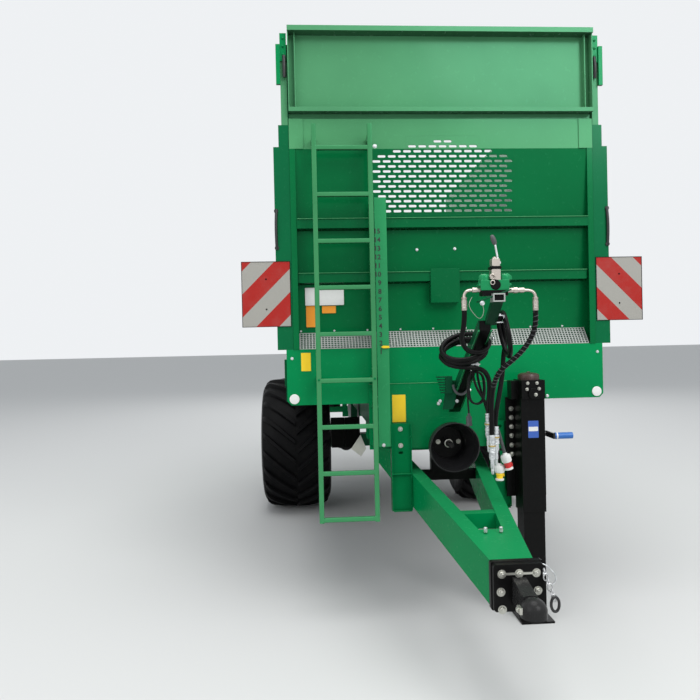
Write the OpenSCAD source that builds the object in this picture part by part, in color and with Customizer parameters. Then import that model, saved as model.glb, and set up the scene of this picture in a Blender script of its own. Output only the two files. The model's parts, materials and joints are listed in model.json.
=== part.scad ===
// Towed manure spreader: a high-sided single-axle body with a scraper floor, a slide gate,
// two milling beaters, two spreading discs and a hand-cranked jack beside its drawbar.
// X runs to the right as seen from the front, Y runs rearward, Z is up.
// Every y below is measured from the plane of the front wall's posts.

/* [Running gear] */
// Tyre diameter over the lugs
tyre_d = 1345; // [1300:5:1380]
// Tyre section width
tyre_w = 685; // [650:5:730]
// Seat diameter of the rim
rim_d = 674; // [640:2:700]
// Distance from the centreline to the middle of a tyre
wheel_x = 1003; // [990:1:1020]
// Lugs on each half of a tread
lug_count = 22; // [16:1:24]
// Height of a lug
lug_h = 34; // [20:1:45]
// Distance from the front posts to the axle
axle_y = 3000; // [2950:10:3100]
// Side of the square axle beam
axle_size = 130; // [100:5:150]

/* [Chassis] */
// Distance from the centreline to the middle of a rail
rail_x = 400; // [380:5:420]
// Width of a rail
rail_w = 80; // [60:5:100]
// Height of a rail
rail_h = 220; // [180:5:240]
// Thickness of the outriggers that carry the body
outrigger_h = 43; // [30:1:60]
// Width of an outrigger along the machine
outrigger_w = 90; // [60:5:120]

/* [Drawbar] */
// Distance from the front posts to the beams' front ends
drawbar_reach = 1327; // [1250:1:1400]
// Half width of the drawbar at the beams' front ends
drawbar_nose_x = 91; // [86:1:96]
// Spread of each beam for every metre rearward
beam_spread = 123; // [115:1:128]
// Rise of the beams for every metre rearward
beam_rise = 125; // [115:1:132]
// Width of a drawbar beam
beam_w = 80; // [60:1:84]
// Height of the beams' top edge at their front ends
nose_top_z = 722; // [710:1:730]
// Depth of the beams
beam_h = 200; // [180:1:210]
// Width of the hitch plates
hitch_plate_w = 228; // [210:1:240]
// Height of the hitch plates
hitch_plate_h = 209; // [200:1:220]
// Thickness of each hitch plate
hitch_plate_t = 30; // [20:1:34]
// Radius of the ball that the coupling takes
ball_r = 40; // [25:1:40]
// Wall of the ball cup
cup_wall = 13; // [8:1:15]
// Distance from the hitch plates to the ball's centre
ball_reach = 184; // [150:1:200]
// Height of the ball's centre
ball_z = 614; // [600:1:630]

/* [Jack] */
// Distance from the centreline to the jack's middle
jack_x = 462; // [450:2:470]
// Distance from the front posts forward to the jack's middle
jack_reach = 170; // [165:1:175]
// Side of the jack's outer tube
jack_w = 142; // [138:2:146]
// Side of the jack's inner tube
jack_leg_w = 128; // [100:2:130]
// Height of the jack's head
jack_top_z = 1452; // [1440:2:1480]
// Height at which the outer tube ends
jack_tube_z = 660; // [640:5:680]
// Travel of the leg up from the ground
jack_lift = 400; // [300:10:500]

/* [Power take-off] */
// Height of the shaft
pto_z = 1052; // [1046:2:1060]
// Radius of the splined stub
pto_r = 17.5; // [17.5:0.5:22.5]
// Free length of the stub
pto_l = 90; // [80:2:110]
// Radius of the shield's mouth
shield_r = 154; // [140:1:158]
// Wall of the shield
shield_t = 6; // [4:1:8]

/* [Body] */
// Distance from the centreline to the inner face of a side wall
inner_x = 959; // [940:1:970]
// Thickness of the wall sheets
sheet_t = 5; // [4:0.5:8]
// Height of the floor's top face
floor_z = 1500; // [1490:2:1510]
// Height of the cross member's underside
sill_z = 1317; // [1310:1:1325]
// Height of the cross member's top edge
member_top_z = 1662; // [1650:1:1670]
// Depth of the front cross member
member_d = 130; // [120:1:150]
// Half width of the front cross member
member_x = 1004; // [990:1:1010]
// Height of the side walls' top edge
wall_top_z = 3050; // [2950:5:3150]
// Height of the top rail
top_rail_h = 135; // [110:5:150]
// Depth of the side walls' ribs and rails
rib_d = 58; // [40:2:70]
// Distance from the front posts to the slide gate
gate_y = 4560; // [4500:5:4600]
// Height at which the front wall starts to lean
bend_z = 2902; // [2880:1:2920]
// Lean of the front wall for every metre of height
wall_lean = 78; // [60:1:90]
// Height of the front wall's band above the bend
band_h = 186; // [170:1:200]
// Height of the front extension's top edge
top_z = 3642; // [3600:1:3700]
// Height of the side extensions' top edge
side_top_z = 3560; // [3500:5:3600]

/* [View grille] */
// Length of a slot
slot_l = 49; // [40:1:50]
// Width of a slot
slot_w = 15; // [10:1:18]
// Sideways pitch of the slots
slot_pitch_x = 64.3; // [58:0.1:66]
// Upward pitch of the rows
slot_pitch_z = 30.7; // [28:0.1:32]

/* [Ladder] */
// Distance from the centreline to the ladder's middle
ladder_x = 640; // [620:5:660]
// Distance between the stiles' middles
ladder_w = 338; // [320:2:344]
// Height of the ladder's foot
ladder_foot_z = 610; // [600:5:650]
// Height of the ladder's top
ladder_top_z = 3019; // [3000:1:3050]
// Pitch of the rungs
rung_pitch = 281; // [270:1:290]
// Width of a stile and of a rung
stile_w = 38; // [30:1:45]

/* [Spreading gear] */
// Radius of a beater over its tines
beater_r = 350; // [330:2:360]
// Radius of a beater's tube
beater_tube_r = 110; // [90:2:130]
// Height of the lower beater
low_beater_z = 1830; // [1820:5:1850]
// Height of the upper beater
high_beater_z = 2570; // [2560:5:2600]
// Tines along a beater
tine_count = 14; // [10:1:16]
// Radius of a spreading disc
disc_r = 500; // [460:2:505]
// Distance from the centreline to a disc's middle
disc_x = 520; // [515:1:540]
// Height of the discs
disc_z = 930; // [900:5:960]
// Vanes on each disc
vane_count = 6; // [4:1:8]
// Opening of the slide gate
gate_lift = 1150; // [900:10:1200]

/* [Hidden] */

// Colours as the photograph shows them
green = "#0d8f52";
dark_green = "#087044";
black = "#1a1b1d";
zinc = "#b9bfc2";
rubber = "#1d1d1f";
white = "#e8e8e4";
blue = "#2f74c8";

// Running clearance between pieces that move and face-to-face clearance of curved ones
run_gap = 0.3;
tyre_r = tyre_d / 2;
axle_z = tyre_r;
rim_r = rim_d / 2;
outer_x = inner_x + sheet_t + rib_d;
rail_top = sill_z;
rail_z = rail_top - rail_h;
body_z = 1430;
body_end = gate_y + 60;
side_rib_y = [650, 1400, 2150, 2900, 3650, 4300];
outrigger_y = [310, 1250, 2250, 3920, 4370];
cross_y = [700, 1700, 2600, 3500, 4400];
member_t = 6;

// Rear housing and discs
house_y = body_end;
house_l = 830;
house_end = house_y + house_l;
beater_y = house_y + 420;
disc_y = house_y + 690;
beater_shaft_r = 45;
shaft_fit = 0.05;
hinge_r = 15;
hood_pivot = [house_end - 70, wall_top_z - 60];
hood_x = inner_x + 60;
hood_cyl_x = outer_x + 37;
barrel_pin = [house_y + 45, wall_top_z - 310];
rod_pin = [hood_pivot[0] + 80, hood_pivot[1] - 200];
hood_foot = [disc_y + disc_r + 70, 1270];
hood_t = 5;

hitch_face = -drawbar_reach - 2 * hitch_plate_t;
front_y = hitch_face - ball_reach - ball_r - cup_wall;
back_y = hood_foot[0] + 40;
mid_y = (front_y + back_y) / 2;

// Helpers
module on_frame() translate([0, -mid_y, 0]) children();
module block(x0, x1, y0, y1, z0, z1) translate([x0, y0, z0]) cube([x1 - x0, y1 - y0, z1 - z0]);
module both_sides() {
    children();
    mirror([1, 0, 0]) children();
}
// A side view, drawn as [y, z], made solid from x0 to x1
module across(x0, x1) translate([x0, 0, 0]) rotate([90, 0, 90]) linear_extrude(x1 - x0) children();
// A front view, drawn as [x, z], made solid from y0 to y1
module along(y0, y1) translate([0, y1, 0]) rotate([90, 0, 0]) linear_extrude(y1 - y0) children();
module rod_x(r, x0, x1, y, z) translate([x0, y, z]) rotate([0, 90, 0]) cylinder(r = r, h = x1 - x0, $fn = 48);
module rod_y(r, y0, y1, x, z) translate([x, y1, z]) rotate([90, 0, 0]) cylinder(r = r, h = y1 - y0, $fn = 48);
module round_rect(w, h, r) {
    square([w, h - 2 * r], center = true);
    square([w - 2 * r, h], center = true);
    for (sx = [-1, 1], sz = [-1, 1])
        translate([sx * (w / 2 - r), sz * (h / 2 - r)]) circle(r = r, $fn = 32);
}

// Front wall: y of its front face at height z
function wall_y(z) = z > bend_z ? 0 : wall_lean * (bend_z - z) / 1000;

// Drawbar: faces and edges of its beams at y
function beam_out(y) = drawbar_nose_x + beam_spread * (y + drawbar_reach) / 1000;
function beam_in(y) = beam_out(y) - beam_w;
function beam_top(y) = nose_top_z + beam_rise * (y + drawbar_reach) / 1000;
// What spans from beam to beam, drawn in plan
module between_beams(y0, y1, z0, z1) translate([0, 0, z0]) linear_extrude(z1 - z0)
    polygon([[-beam_in(y0), y0], [beam_in(y0), y0], [beam_in(y1), y1], [-beam_in(y1), y1]]);

module chassis_rails() on_frame() color(dark_green)
    both_sides() block(rail_x - rail_w / 2, rail_x + rail_w / 2, 0, house_y + 300, rail_z, rail_top);

module outriggers() on_frame() color(dark_green) {
    for (y = outrigger_y) {
        block(-outer_x, outer_x, y, y + outrigger_w, rail_top, rail_top + outrigger_h);
        both_sides() block(inner_x + sheet_t, outer_x, y, y + outrigger_w, rail_top + outrigger_h, body_z);
    }
    for (y = cross_y)
        block(-rail_x + rail_w / 2, rail_x - rail_w / 2, y, y + outrigger_w, rail_z + 80, rail_top);
}

// Two rising beams that spread to the rails, a nose box, a tie and a head tube under the rails
drawbar_end = 950;
head_w = 150;
nose_l = 382;
nose_bevel = 18;
tie_y = -742;
tie_l = 74;
tie_t = 8;
tie_h = 80;
module drawbar() on_frame() color(green) {
    both_sides() intersection() {
        linear_extrude(2000) polygon([
            [beam_out(-drawbar_reach), -drawbar_reach], [beam_out(drawbar_end), drawbar_end],
            [beam_in(drawbar_end), drawbar_end], [beam_in(-drawbar_reach), -drawbar_reach]
        ]);
        drawbar_side();
    }
    intersection() {
        between_beams(-drawbar_reach, nose_l - drawbar_reach, 0, 2000);
        drawbar_side();
    }
    between_beams(tie_y, tie_y + tie_l, beam_top(tie_y) - tie_t, beam_top(tie_y));
    between_beams(tie_y, tie_y + tie_t, beam_top(tie_y) - tie_h, beam_top(tie_y));
    both_sides() block(beam_in(drawbar_end - head_w) - 20, rail_x + rail_w / 2, drawbar_end - head_w,
                       drawbar_end, beam_top(drawbar_end - head_w) - tie_t, rail_z);
    between_beams(drawbar_end - head_w, drawbar_end, beam_top(drawbar_end - head_w) - beam_h / 2,
                  beam_top(drawbar_end - head_w) - tie_t);
}
module drawbar_side() across(-600, 600) polygon([
    [-drawbar_reach, nose_top_z - beam_h], [-drawbar_reach, nose_top_z - nose_bevel],
    [nose_bevel - drawbar_reach, beam_top(nose_bevel - drawbar_reach)],
    [drawbar_end, beam_top(drawbar_end)], [drawbar_end, beam_top(drawbar_end) - beam_h]
]);

// Flange of the drawbar and, bolted on it, the slightly smaller flange of the coupling
hitch_z = 641;
module hitch_plate() on_frame() color(black) translate([0, 0, hitch_z]) {
    along(-drawbar_reach - hitch_plate_t, -drawbar_reach) round_rect(hitch_plate_w, hitch_plate_h, 10);
    along(hitch_face, -drawbar_reach - hitch_plate_t) round_rect(hitch_plate_w - 8, hitch_plate_h - 8, 14);
}

// Ball cup with a domed roof and a neck to the plate
neck_w = 60;
ball_y = hitch_face - ball_reach;
module ball_coupling() on_frame() color(black) difference() {
    union() {
        translate([0, ball_y, ball_z]) rotate_extrude($fn = 64) cup_outline(ball_r + cup_wall);
        difference() {
            across(-neck_w / 2, neck_w / 2) polygon([
                [ball_y, ball_z + 14], [ball_y, ball_z + 40], [ball_y + 80, ball_z + 48],
                [hitch_face, ball_z + 72], [hitch_face, ball_z - 50], [ball_y + 60, ball_z - 12]
            ]);
            translate([0, ball_y, ball_z]) cylinder(r = ball_r + 5, h = 200, center = true, $fn = 48);
        }
    }
    translate([0, ball_y, ball_z]) rotate_extrude($fn = 64) cup_outline(ball_r + 0.25);
}
// Half section of a cup: straight mouth below the centre, round above
cup_skirt = 24;
module cup_outline(r) {
    intersection() {
        circle(r = r, $fn = 64);
        square([r, r]);
    }
    translate([0, -cup_skirt]) square([r, cup_skirt]);
}

// Channels on the beams' outer faces that reach back to the lower front plate
console_y = -60;
console_x = 372;
console_z = 652;
console_top = 1193;
console_t = 8;
console_holes = [1057, 1159];
module console_plan(y0, y1, x0) polygon([[beam_out(y0), y0], [x0, y0], [x0, y1], [beam_out(y1), y1]]);
module beam_consoles() on_frame() color(green) both_sides() difference() {
    union() {
        translate([0, 0, console_z]) linear_extrude(console_top - console_z) difference() {
            console_plan(console_y, -low_plate_t, console_x);
            polygon([
                [beam_out(console_y) + 2 * console_t, console_y + console_t],
                [console_x - console_t, console_y + console_t], [console_x - console_t, 0],
                [beam_out(console_y) + 2 * console_t, 0]
            ]);
        }
        for (z = [console_z, console_z + 210]) translate([0, 0, z]) linear_extrude(console_t)
            console_plan(console_y, -low_plate_t, console_x);
    }
    for (z = console_holes) rod_y(11, console_y - 1, console_y + 20, 313, z);
    block(300, 326, console_y - 1, console_y + 20, 1005, 1020);
}

// Black plate that the jack bolts to, and the box that carries it on the front plate
jack_y = -jack_reach;
jack_back = jack_y + jack_w / 2;
plate_t = 14;
plate_x = 246;
plate_z = [729, 1341];
module jack_plate() on_frame() color(black) {
    block(jack_x - plate_x / 2, jack_x + plate_x / 2, jack_back, jack_back + plate_t, plate_z[0], plate_z[1]);
    block(jack_x - plate_x / 2, console_x, jack_back + plate_t, console_y, plate_z[0] + 40, plate_z[1] - 150);
    block(console_x, low_plate_x - 20, jack_back + plate_t, -low_plate_t, low_plate_z + 10, plate_z[1] - 10);
}

jack_wall = (jack_w - jack_leg_w) / 2 - run_gap;
module square_tube(w, t, z0, z1) difference() {
    translate([-w / 2, -w / 2, z0]) cube([w, w, z1 - z0]);
    translate([-w / 2 + t, -w / 2 + t, z0 - 1]) cube([w - 2 * t, w - 2 * t, z1 - z0 + 2]);
}
module jack_housing() on_frame() color(black) translate([jack_x, jack_y, 0]) {
    square_tube(jack_w, jack_wall, jack_tube_z, jack_top_z - 6);
    translate([-jack_w / 2, -jack_w / 2, jack_top_z - 6]) cube([jack_w, jack_w, 6]);
    translate([-jack_w / 2, -jack_w / 2 - 16, jack_top_z - 112]) cube([jack_w, 16, 112]);
    translate([0, -jack_w / 2 - 16, jack_top_z - 80]) rotate([90, 0, 0]) cylinder(r = 32, h = 12, $fn = 64);
    translate([-jack_w / 2 - 40, -12, jack_top_z - 118]) cube([40, jack_w / 2 + 12, 112]);
    translate([0, 0, jack_top_z]) rotate_extrude($fn = 64) polygon([
        [0, 0], [62, 0], [60, 12], [46, 28], [26, 37], [0, 39]
    ]);
}

crank_z = 1120;
module jack_crank() on_frame() {
    color(black) rod_x(16, jack_x + jack_w / 2, jack_x + jack_w / 2 + 30, jack_y, crank_z);
    color(black) block(jack_x + jack_w / 2 + 30, jack_x + jack_w / 2 + 42, jack_y - 130, jack_y + 16,
                       crank_z - 16, crank_z + 16);
    color(blue) rod_x(19, jack_x + jack_w / 2 + 42, jack_x + jack_w / 2 + 150, jack_y - 112, crank_z);
}

foot_t = 12;
foot_w = 200;
module jack_leg() on_frame() color(black) translate([jack_x, jack_y, 0]) {
    square_tube(jack_leg_w, 8, foot_t, jack_top_z - jack_lift - 20);
    translate([-foot_w / 2, -foot_w / 2, 0]) cube([foot_w, foot_w, foot_t]);
}

module front_cross_member() on_frame() color(green) difference() {
    along(0, member_d) difference() {
        translate([-member_x, sill_z]) square([2 * member_x, member_top_z - sill_z]);
        for (s = [-1, 1]) translate([s * member_x, sill_z]) rotate(45) square(36, center = true);
    }
    block(-member_x + member_t, member_x - member_t, member_t, member_d - member_t,
          sill_z - 1, member_top_z - member_t);
}

low_plate_x = 500;
low_plate_z = 1030;
low_plate_top = 1438;
low_plate_t = 12;
module lower_front_plate() on_frame() color(green) difference() {
    along(-low_plate_t, 0) translate([-low_plate_x, low_plate_z])
        square([2 * low_plate_x, low_plate_top - low_plate_z]);
    rod_y(shield_r + 12, -20, 10, 0, pto_z);
}

// Bearing stand of the shaft, carried between the drawbar's beams
bearing_y = 50;
bearing_t = 50;
bearing_r = 105;
shaft_r = 35;
module pto_bearing() on_frame() color(black) difference() {
    union() {
        rod_y(bearing_r, bearing_y, bearing_y + bearing_t, 0, pto_z);
        block(-bearing_r, bearing_r, bearing_y, bearing_y + bearing_t, beam_top(bearing_y) - 20, pto_z);
        between_beams(bearing_y, bearing_y + bearing_t, beam_top(bearing_y) - 80, beam_top(bearing_y) - 20);
    }
    rod_y(shaft_r + run_gap, bearing_y - 1, bearing_y + bearing_t + 1, 0, pto_z);
}

// Funnel whose mouth is cut back below
shield_y = -205;
shield_cut = 45;
module pto_shield() on_frame() color(black) difference() {
    translate([0, bearing_y, pto_z]) rotate([90, 0, 0]) rotate_extrude($fn = 96)
        polygon([
            [bearing_r - shield_t, 0], [bearing_r, 0], [bearing_r + 8, 70], [shield_r - 8, 150], [shield_r, 255],
            [shield_r - shield_t, 255], [shield_r - shield_t - 8, 150], [bearing_r + 8 - shield_t, 70]
        ]);
    across(-300, 300) polygon([
        [shield_y - 100, pto_z + 200], [shield_y - 100, pto_z - 200],
        [shield_y + shield_cut, pto_z - 200], [shield_y, pto_z + 200]
    ]);
}

// Splined stub, collar and the long shaft under the body, in one turning piece
gearbox_y = house_y + 60;
stub_root = bearing_y - 40;
module drive_shaft() on_frame() color(zinc) {
    rod_y(pto_r, stub_root - pto_l, stub_root, 0, pto_z);
    rod_y(28, stub_root, bearing_y - 5, 0, pto_z);
    rod_y(shaft_r, bearing_y - 5, gearbox_y - run_gap, 0, pto_z);
    for (y = [350, 2050, 3900]) rod_y(shaft_r + 10, y, y + 120, 0, pto_z);
}

// Slots in each row of the view grille, from the top: two rows above the bend, the rest below it
row_slots = [2, 7, 10, 13, 14, 13, 14, 13, 14, 13, 14, 13, 14, 13, 14];
rows_above = 2;
window_x = 0;
window_edge = 14;
// Height of a row's middle above the bend, along the sheet
function row_z(row) = (rows_above - row - 0.5) * slot_pitch_z;
function half_row(count) = (count - 1) / 2 * slot_pitch_x + slot_l / 2 + window_edge;
module window_upper() translate([window_x - half_row(row_slots[1]), 3])
    square([2 * half_row(row_slots[1]), rows_above * slot_pitch_z + window_edge]);
module window_lower() {
    low = row_z(len(row_slots) - 1) - slot_w / 2 - window_edge;
    translate([window_x - half_row(row_slots[4]), low]) square([2 * half_row(row_slots[4]), -3 - low]);
}
module slots(first, last) for (row = [first:last]) {
    count = row_slots[row];
    for (i = [0:count - 1]) translate([window_x + (i - (count - 1) / 2) * slot_pitch_x, row_z(row)]) {
        square([slot_l - slot_w, slot_w], center = true);
        for (s = [-1, 1]) translate([s * (slot_l - slot_w) / 2, 0]) circle(d = slot_w, $fn = 24);
    }
}

// The sheet leans rearward below the bend; its plane is drawn as x and height above the bend
lean_deg = atan(wall_lean / 1000);
module on_lean(y0, y1) translate([0, 0, bend_z]) rotate([lean_deg, 0, 0]) translate([0, y1, 0])
    rotate([90, 0, 0]) linear_extrude(y1 - y0) children();
module on_band(y0, y1) translate([0, 0, bend_z]) along(y0, y1) children();
wall_x = inner_x - sheet_t;
wall_foot = member_top_z + 1;
band_top = bend_z + band_h;
module front_wall() on_frame() color(green) difference() {
    across(-wall_x, wall_x) polygon([
        [wall_y(wall_foot), wall_foot], [0, bend_z], [0, band_top], [60, band_top],
        [60, band_top - sheet_t], [sheet_t, band_top - sheet_t], [sheet_t, bend_z],
        [wall_y(wall_foot) + sheet_t, wall_foot]
    ]);
    on_lean(-20, 20) window_lower();
    on_band(-20, 20) window_upper();
}
module view_grille() on_frame() color(green) {
    on_lean(0, sheet_t) difference() {
        window_lower();
        slots(rows_above, len(row_slots) - 1);
    }
    on_band(0, sheet_t) difference() {
        window_upper();
        slots(0, rows_above - 1);
    }
}

post_w = 36;
module front_posts() on_frame() color(green) both_sides() {
    block(inner_x - post_w, inner_x, -sheet_t, 0, member_top_z, band_top);
    block(wall_x, inner_x, 0, member_d, member_top_z, band_top);
    block(inner_x - 87, inner_x, -6, 0, bend_z, band_top);
}

// Two hat profiles across the wall and the small box bracket on the lower one
rib_face = 48;
rib_z = [2400, 2066];
rib_h = 78;
bracket_x = 92;
bracket_z = [1938, 2152];
module front_ribs() on_frame() color(green) {
    for (z = rib_z) across(-inner_x + post_w + 2, inner_x - post_w - 2) polygon([
        [wall_y(z), z], [wall_y(z) - rib_face, z + 10], [wall_y(z) - rib_face, z + rib_h - 10],
        [wall_y(z + rib_h), z + rib_h]
    ]);
    block(-bracket_x, bracket_x, wall_y(rib_z[1]) - rib_face - 12, wall_y(rib_z[1]) - rib_face,
          bracket_z[0], bracket_z[1]);
    both_sides() across(bracket_x - 8, bracket_x) polygon([
        [wall_y(rib_z[1]) - rib_face, bracket_z[0]], [wall_y(rib_z[1]) - rib_face, rib_z[1] + 20],
        [wall_y(rib_z[1] + 20), rib_z[1] + 20], [wall_y(bracket_z[0]), bracket_z[0]]
    ]);
}

board_x = inner_x - 2;
panel_y = 20;
rim_y = -55;
rim_h = 31;
low_rim_y = -40;
low_rim_z = [35, 61];
module front_extension() on_frame() color(green) {
    block(-board_x, board_x, panel_y, panel_y + sheet_t, band_top, top_z);
    block(-board_x, board_x, rim_y, panel_y, top_z - rim_h, top_z);
    block(-board_x, board_x, low_rim_y, panel_y, band_top + low_rim_z[0], band_top + low_rim_z[1]);
    both_sides() block(board_x - 6, board_x, low_rim_y, panel_y, band_top + low_rim_z[1], top_z - rim_h);
    both_sides() block(board_x - 46, board_x - 40, -20, panel_y, band_top + low_rim_z[1], top_z - rim_h);
}

// Sloping strip from the cross member's top edge to the wall
strip_top_z = member_top_z + 104;
strip_t = 3;
strip_y = 8;
strip_len = norm([wall_y(strip_top_z) - strip_y, strip_top_z - member_top_z]) - 4;
strip_deg = atan((wall_y(strip_top_z) - strip_y) / (strip_top_z - member_top_z));
strip_hole = 20;
strip_pitch = 32;
strip_rows = 3;
strip_cols = floor((2 * inner_x - 2 * post_w - 60) / strip_pitch);
module perforated_strip() on_frame() color(zinc)
    translate([0, strip_y, member_top_z + 1.9]) rotate([-strip_deg, 0, 0]) translate([0, strip_t, 0])
        rotate([90, 0, 0]) linear_extrude(strip_t) difference() {
            translate([-inner_x + post_w, 0]) square([2 * (inner_x - post_w), strip_len]);
            for (c = [0:strip_cols - 1], r = [0:strip_rows - 1])
                translate([(c - (strip_cols - 1) / 2) * strip_pitch,
                           strip_len / 2 + (r - (strip_rows - 1) / 2) * strip_pitch])
                    square(strip_hole, center = true);
        }

ladder_y = -130;
rung_count = floor((ladder_top_z - ladder_foot_z - stile_w) / rung_pitch) + 1;
module ladder() on_frame() color(green) translate([-ladder_x, 0, 0]) {
    for (s = [-1, 1]) {
        x = s * ladder_w / 2 - stile_w / 2;
        block(x, x + stile_w, ladder_y, ladder_y + stile_w, ladder_foot_z, ladder_top_z);
        block(x, x + stile_w, ladder_y + stile_w, 0, bend_z + 20, bend_z + 60);
        block(x, x + stile_w, ladder_y + stile_w, 0, low_plate_top + 20, low_plate_top + 60);
    }
    for (i = [0:rung_count - 1]) {
        z = ladder_foot_z + i * rung_pitch;
        block(-(ladder_w - stile_w) / 2, (ladder_w - stile_w) / 2, ladder_y, ladder_y + stile_w, z, z + stile_w);
    }
}

// Channel with the gate's scale and its pointer
scale_x = -447;
scale_w = 74;
scale_d = 58;
scale_z = 1054;
scale_top = 2585;
scale_y = -low_plate_t - scale_d;
module level_scale() on_frame() {
    color(green) difference() {
        block(scale_x, scale_x + scale_w, scale_y, -low_plate_t, scale_z, scale_top);
        block(scale_x + 4, scale_x + scale_w - 4, scale_y + 4, -low_plate_t + 1, scale_z - 1, scale_top - 4);
    }
    color("gold") block(scale_x + 24, scale_x + scale_w, scale_y - 4, scale_y, 1662, 1674);
}

// Boards of red and white stripes on the body's front corners
sign_w = 301;
sign_h = 404;
sign_z = 1806;
sign_x = inner_x + 10;
module warning_boards() on_frame() color(white) both_sides()
    block(sign_x, sign_x + sign_w, -4, 0, sign_z, sign_z + sign_h);

flange_w = 35;
module side_wall() {
    across(inner_x, inner_x + sheet_t) polygon([
        [0, member_top_z], [0, wall_top_z], [body_end, wall_top_z], [body_end, body_z],
        [member_d, body_z], [member_d, member_top_z]
    ]);
    block(inner_x + sheet_t, outer_x, member_d, body_end, body_z, body_z + 170);
    block(inner_x + sheet_t, outer_x + 2, 0, body_end, wall_top_z - top_rail_h, wall_top_z);
    block(inner_x + sheet_t, outer_x + flange_w, 0, 6, member_top_z, wall_top_z - top_rail_h);
    block(inner_x + sheet_t, outer_x, body_end - 90, body_end, body_z + 170, wall_top_z - top_rail_h);
    for (y = side_rib_y) translate([0, y, body_z + 170])
        linear_extrude(wall_top_z - top_rail_h - body_z - 170) polygon([
            [inner_x + sheet_t, -48], [outer_x, -32], [outer_x, 32], [inner_x + sheet_t, 48]
        ]);
}
module right_side_wall() on_frame() color(green) side_wall();
module left_side_wall() on_frame() color(green) mirror([1, 0, 0]) side_wall();

// Extension boards that stand on the side walls' top rails
side_board_t = 40;
side_board_end = gate_y - 60;
module side_board() {
    x = inner_x + sheet_t;
    block(x, x + 4, 0, side_board_end, wall_top_z, side_top_z);
    block(x + 4, x + side_board_t, 0, side_board_end, side_top_z - 50, side_top_z);
    block(x + 4, x + side_board_t, 0, side_board_end, wall_top_z, wall_top_z + 40);
    for (y = concat([25], side_rib_y, [side_board_end - 25]))
        block(x + 4, x + side_board_t, y - 25, y + 25, wall_top_z + 40, side_top_z - 50);
}
module right_side_board() on_frame() color(green) side_board();
module left_side_board() on_frame() color(green) mirror([1, 0, 0]) side_board();

module board_latches() on_frame() color(green) both_sides() {
    x = inner_x + sheet_t + side_board_t;
    block(x - side_board_t, x, -8, 0, side_top_z - 120, side_top_z + 52);
    block(x, x + 25, -20, 0, side_top_z - 265, side_top_z - 20);
}

floor_t = 6;
floor_gap = 42;
module floor_plate() on_frame() color(dark_green) {
    block(-inner_x, inner_x, loop_front + floor_gap, loop_back - floor_gap, floor_z - floor_t, floor_z);
    across(-inner_x, inner_x) polygon([
        [member_d, floor_z + 100], [member_d, floor_z + 107], [loop_front, floor_z + 60], [loop_front, floor_z + 53]
    ]);
    for (y = outrigger_y)
        block(-inner_x, inner_x, y, y + 60, body_z, floor_z - floor_t);
}

// One closed loop of slats on two chains, round the front and rear shafts
loop_front = 260;
loop_back = body_end - 110;
slat_h = 28;
slat_w = 46;
chain_x = [-620, 620];
chain_w = 24;
chain_t = 18;
loop_top = floor_z + run_gap;
loop_low = body_z - 8;
slat_pitch = 340;
slat_count = floor((loop_back - loop_front) / slat_pitch);
module scraper_floor() on_frame() color("#4a4d50") {
    r_out = (loop_top + chain_t - (loop_low - chain_t)) / 2;
    mid_z = (loop_top + chain_t + loop_low - chain_t) / 2;
    for (x = chain_x) across(x - chain_w / 2, x + chain_w / 2) difference() {
        union() {
            translate([loop_front, mid_z - r_out]) square([loop_back - loop_front, 2 * r_out]);
            for (y = [loop_front, loop_back]) translate([y, mid_z]) circle(r = r_out, $fn = 48);
        }
        translate([loop_front, mid_z - r_out + chain_t])
            square([loop_back - loop_front, 2 * (r_out - chain_t)]);
        for (y = [loop_front, loop_back]) translate([y, mid_z]) circle(r = r_out - chain_t, $fn = 48);
    }
    for (i = [0:slat_count]) {
        y = loop_front + i * slat_pitch;
        block(-inner_x + 30, inner_x - 30, y, y + slat_w, loop_top + chain_t - 10, loop_top + chain_t - 10 + slat_h);
        block(-inner_x + 30, inner_x - 30, y, y + slat_w, loop_low - chain_t - 18, loop_low - chain_t + 10);
    }
}

module floor_shafts() on_frame() color(black) {
    r_out = (loop_top - loop_low) / 2;
    mid_z = (loop_top + loop_low) / 2;
    for (y = [loop_front, loop_back]) {
        rod_x(22, -inner_x, inner_x, y, mid_z);
        for (x = chain_x) rod_x(r_out - 1, x - 10, x + 10, y, mid_z);
    }
    block(outer_x, outer_x + 95, loop_back - 110, loop_back + 60, mid_z - 120, mid_z + 90);
}

// Square beam, round ends and the plates that carry it under the rails
hub_face = wheel_x - 240;
stub_axle_r = 45;
axle_plate_top = 330;
axle_plate_foot = 110;
module axle() on_frame() color(dark_green) {
    s = axle_size / 2;
    beam_end = hub_face - 90;
    block(-beam_end, beam_end, axle_y - s, axle_y + s, axle_z - s, axle_z + s);
    both_sides() rod_x(stub_axle_r, beam_end - s, wheel_x + 90, axle_y, axle_z);
    both_sides() across(rail_x - rail_w / 2, rail_x + rail_w / 2) polygon([
        [axle_y - axle_plate_top, rail_z], [axle_y - axle_plate_foot, axle_z + s],
        [axle_y - s, axle_z + s], [axle_y - s, axle_z], [axle_y + s, axle_z], [axle_y + s, axle_z + s],
        [axle_y + axle_plate_foot, axle_z + s], [axle_y + axle_plate_top, rail_z]
    ]);
}

brake_x = 510;
module brakes() on_frame() color(black) both_sides() {
    difference() {
        rod_x(205, wheel_x - 215, wheel_x - 203, axle_y, axle_z);
        rod_x(stub_axle_r, 0, 1200, axle_y, axle_z);
    }
    block(brake_x - 15, brake_x + 15, axle_y - 400, axle_y - axle_size / 2, axle_z - 30, axle_z + 50);
    block(brake_x - 70, brake_x + 70, axle_y - 400, axle_y - 390, axle_z - 30, axle_z + 120);
    rod_y(75, axle_y - 520, axle_y - 400, brake_x, axle_z + 40);
}

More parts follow.
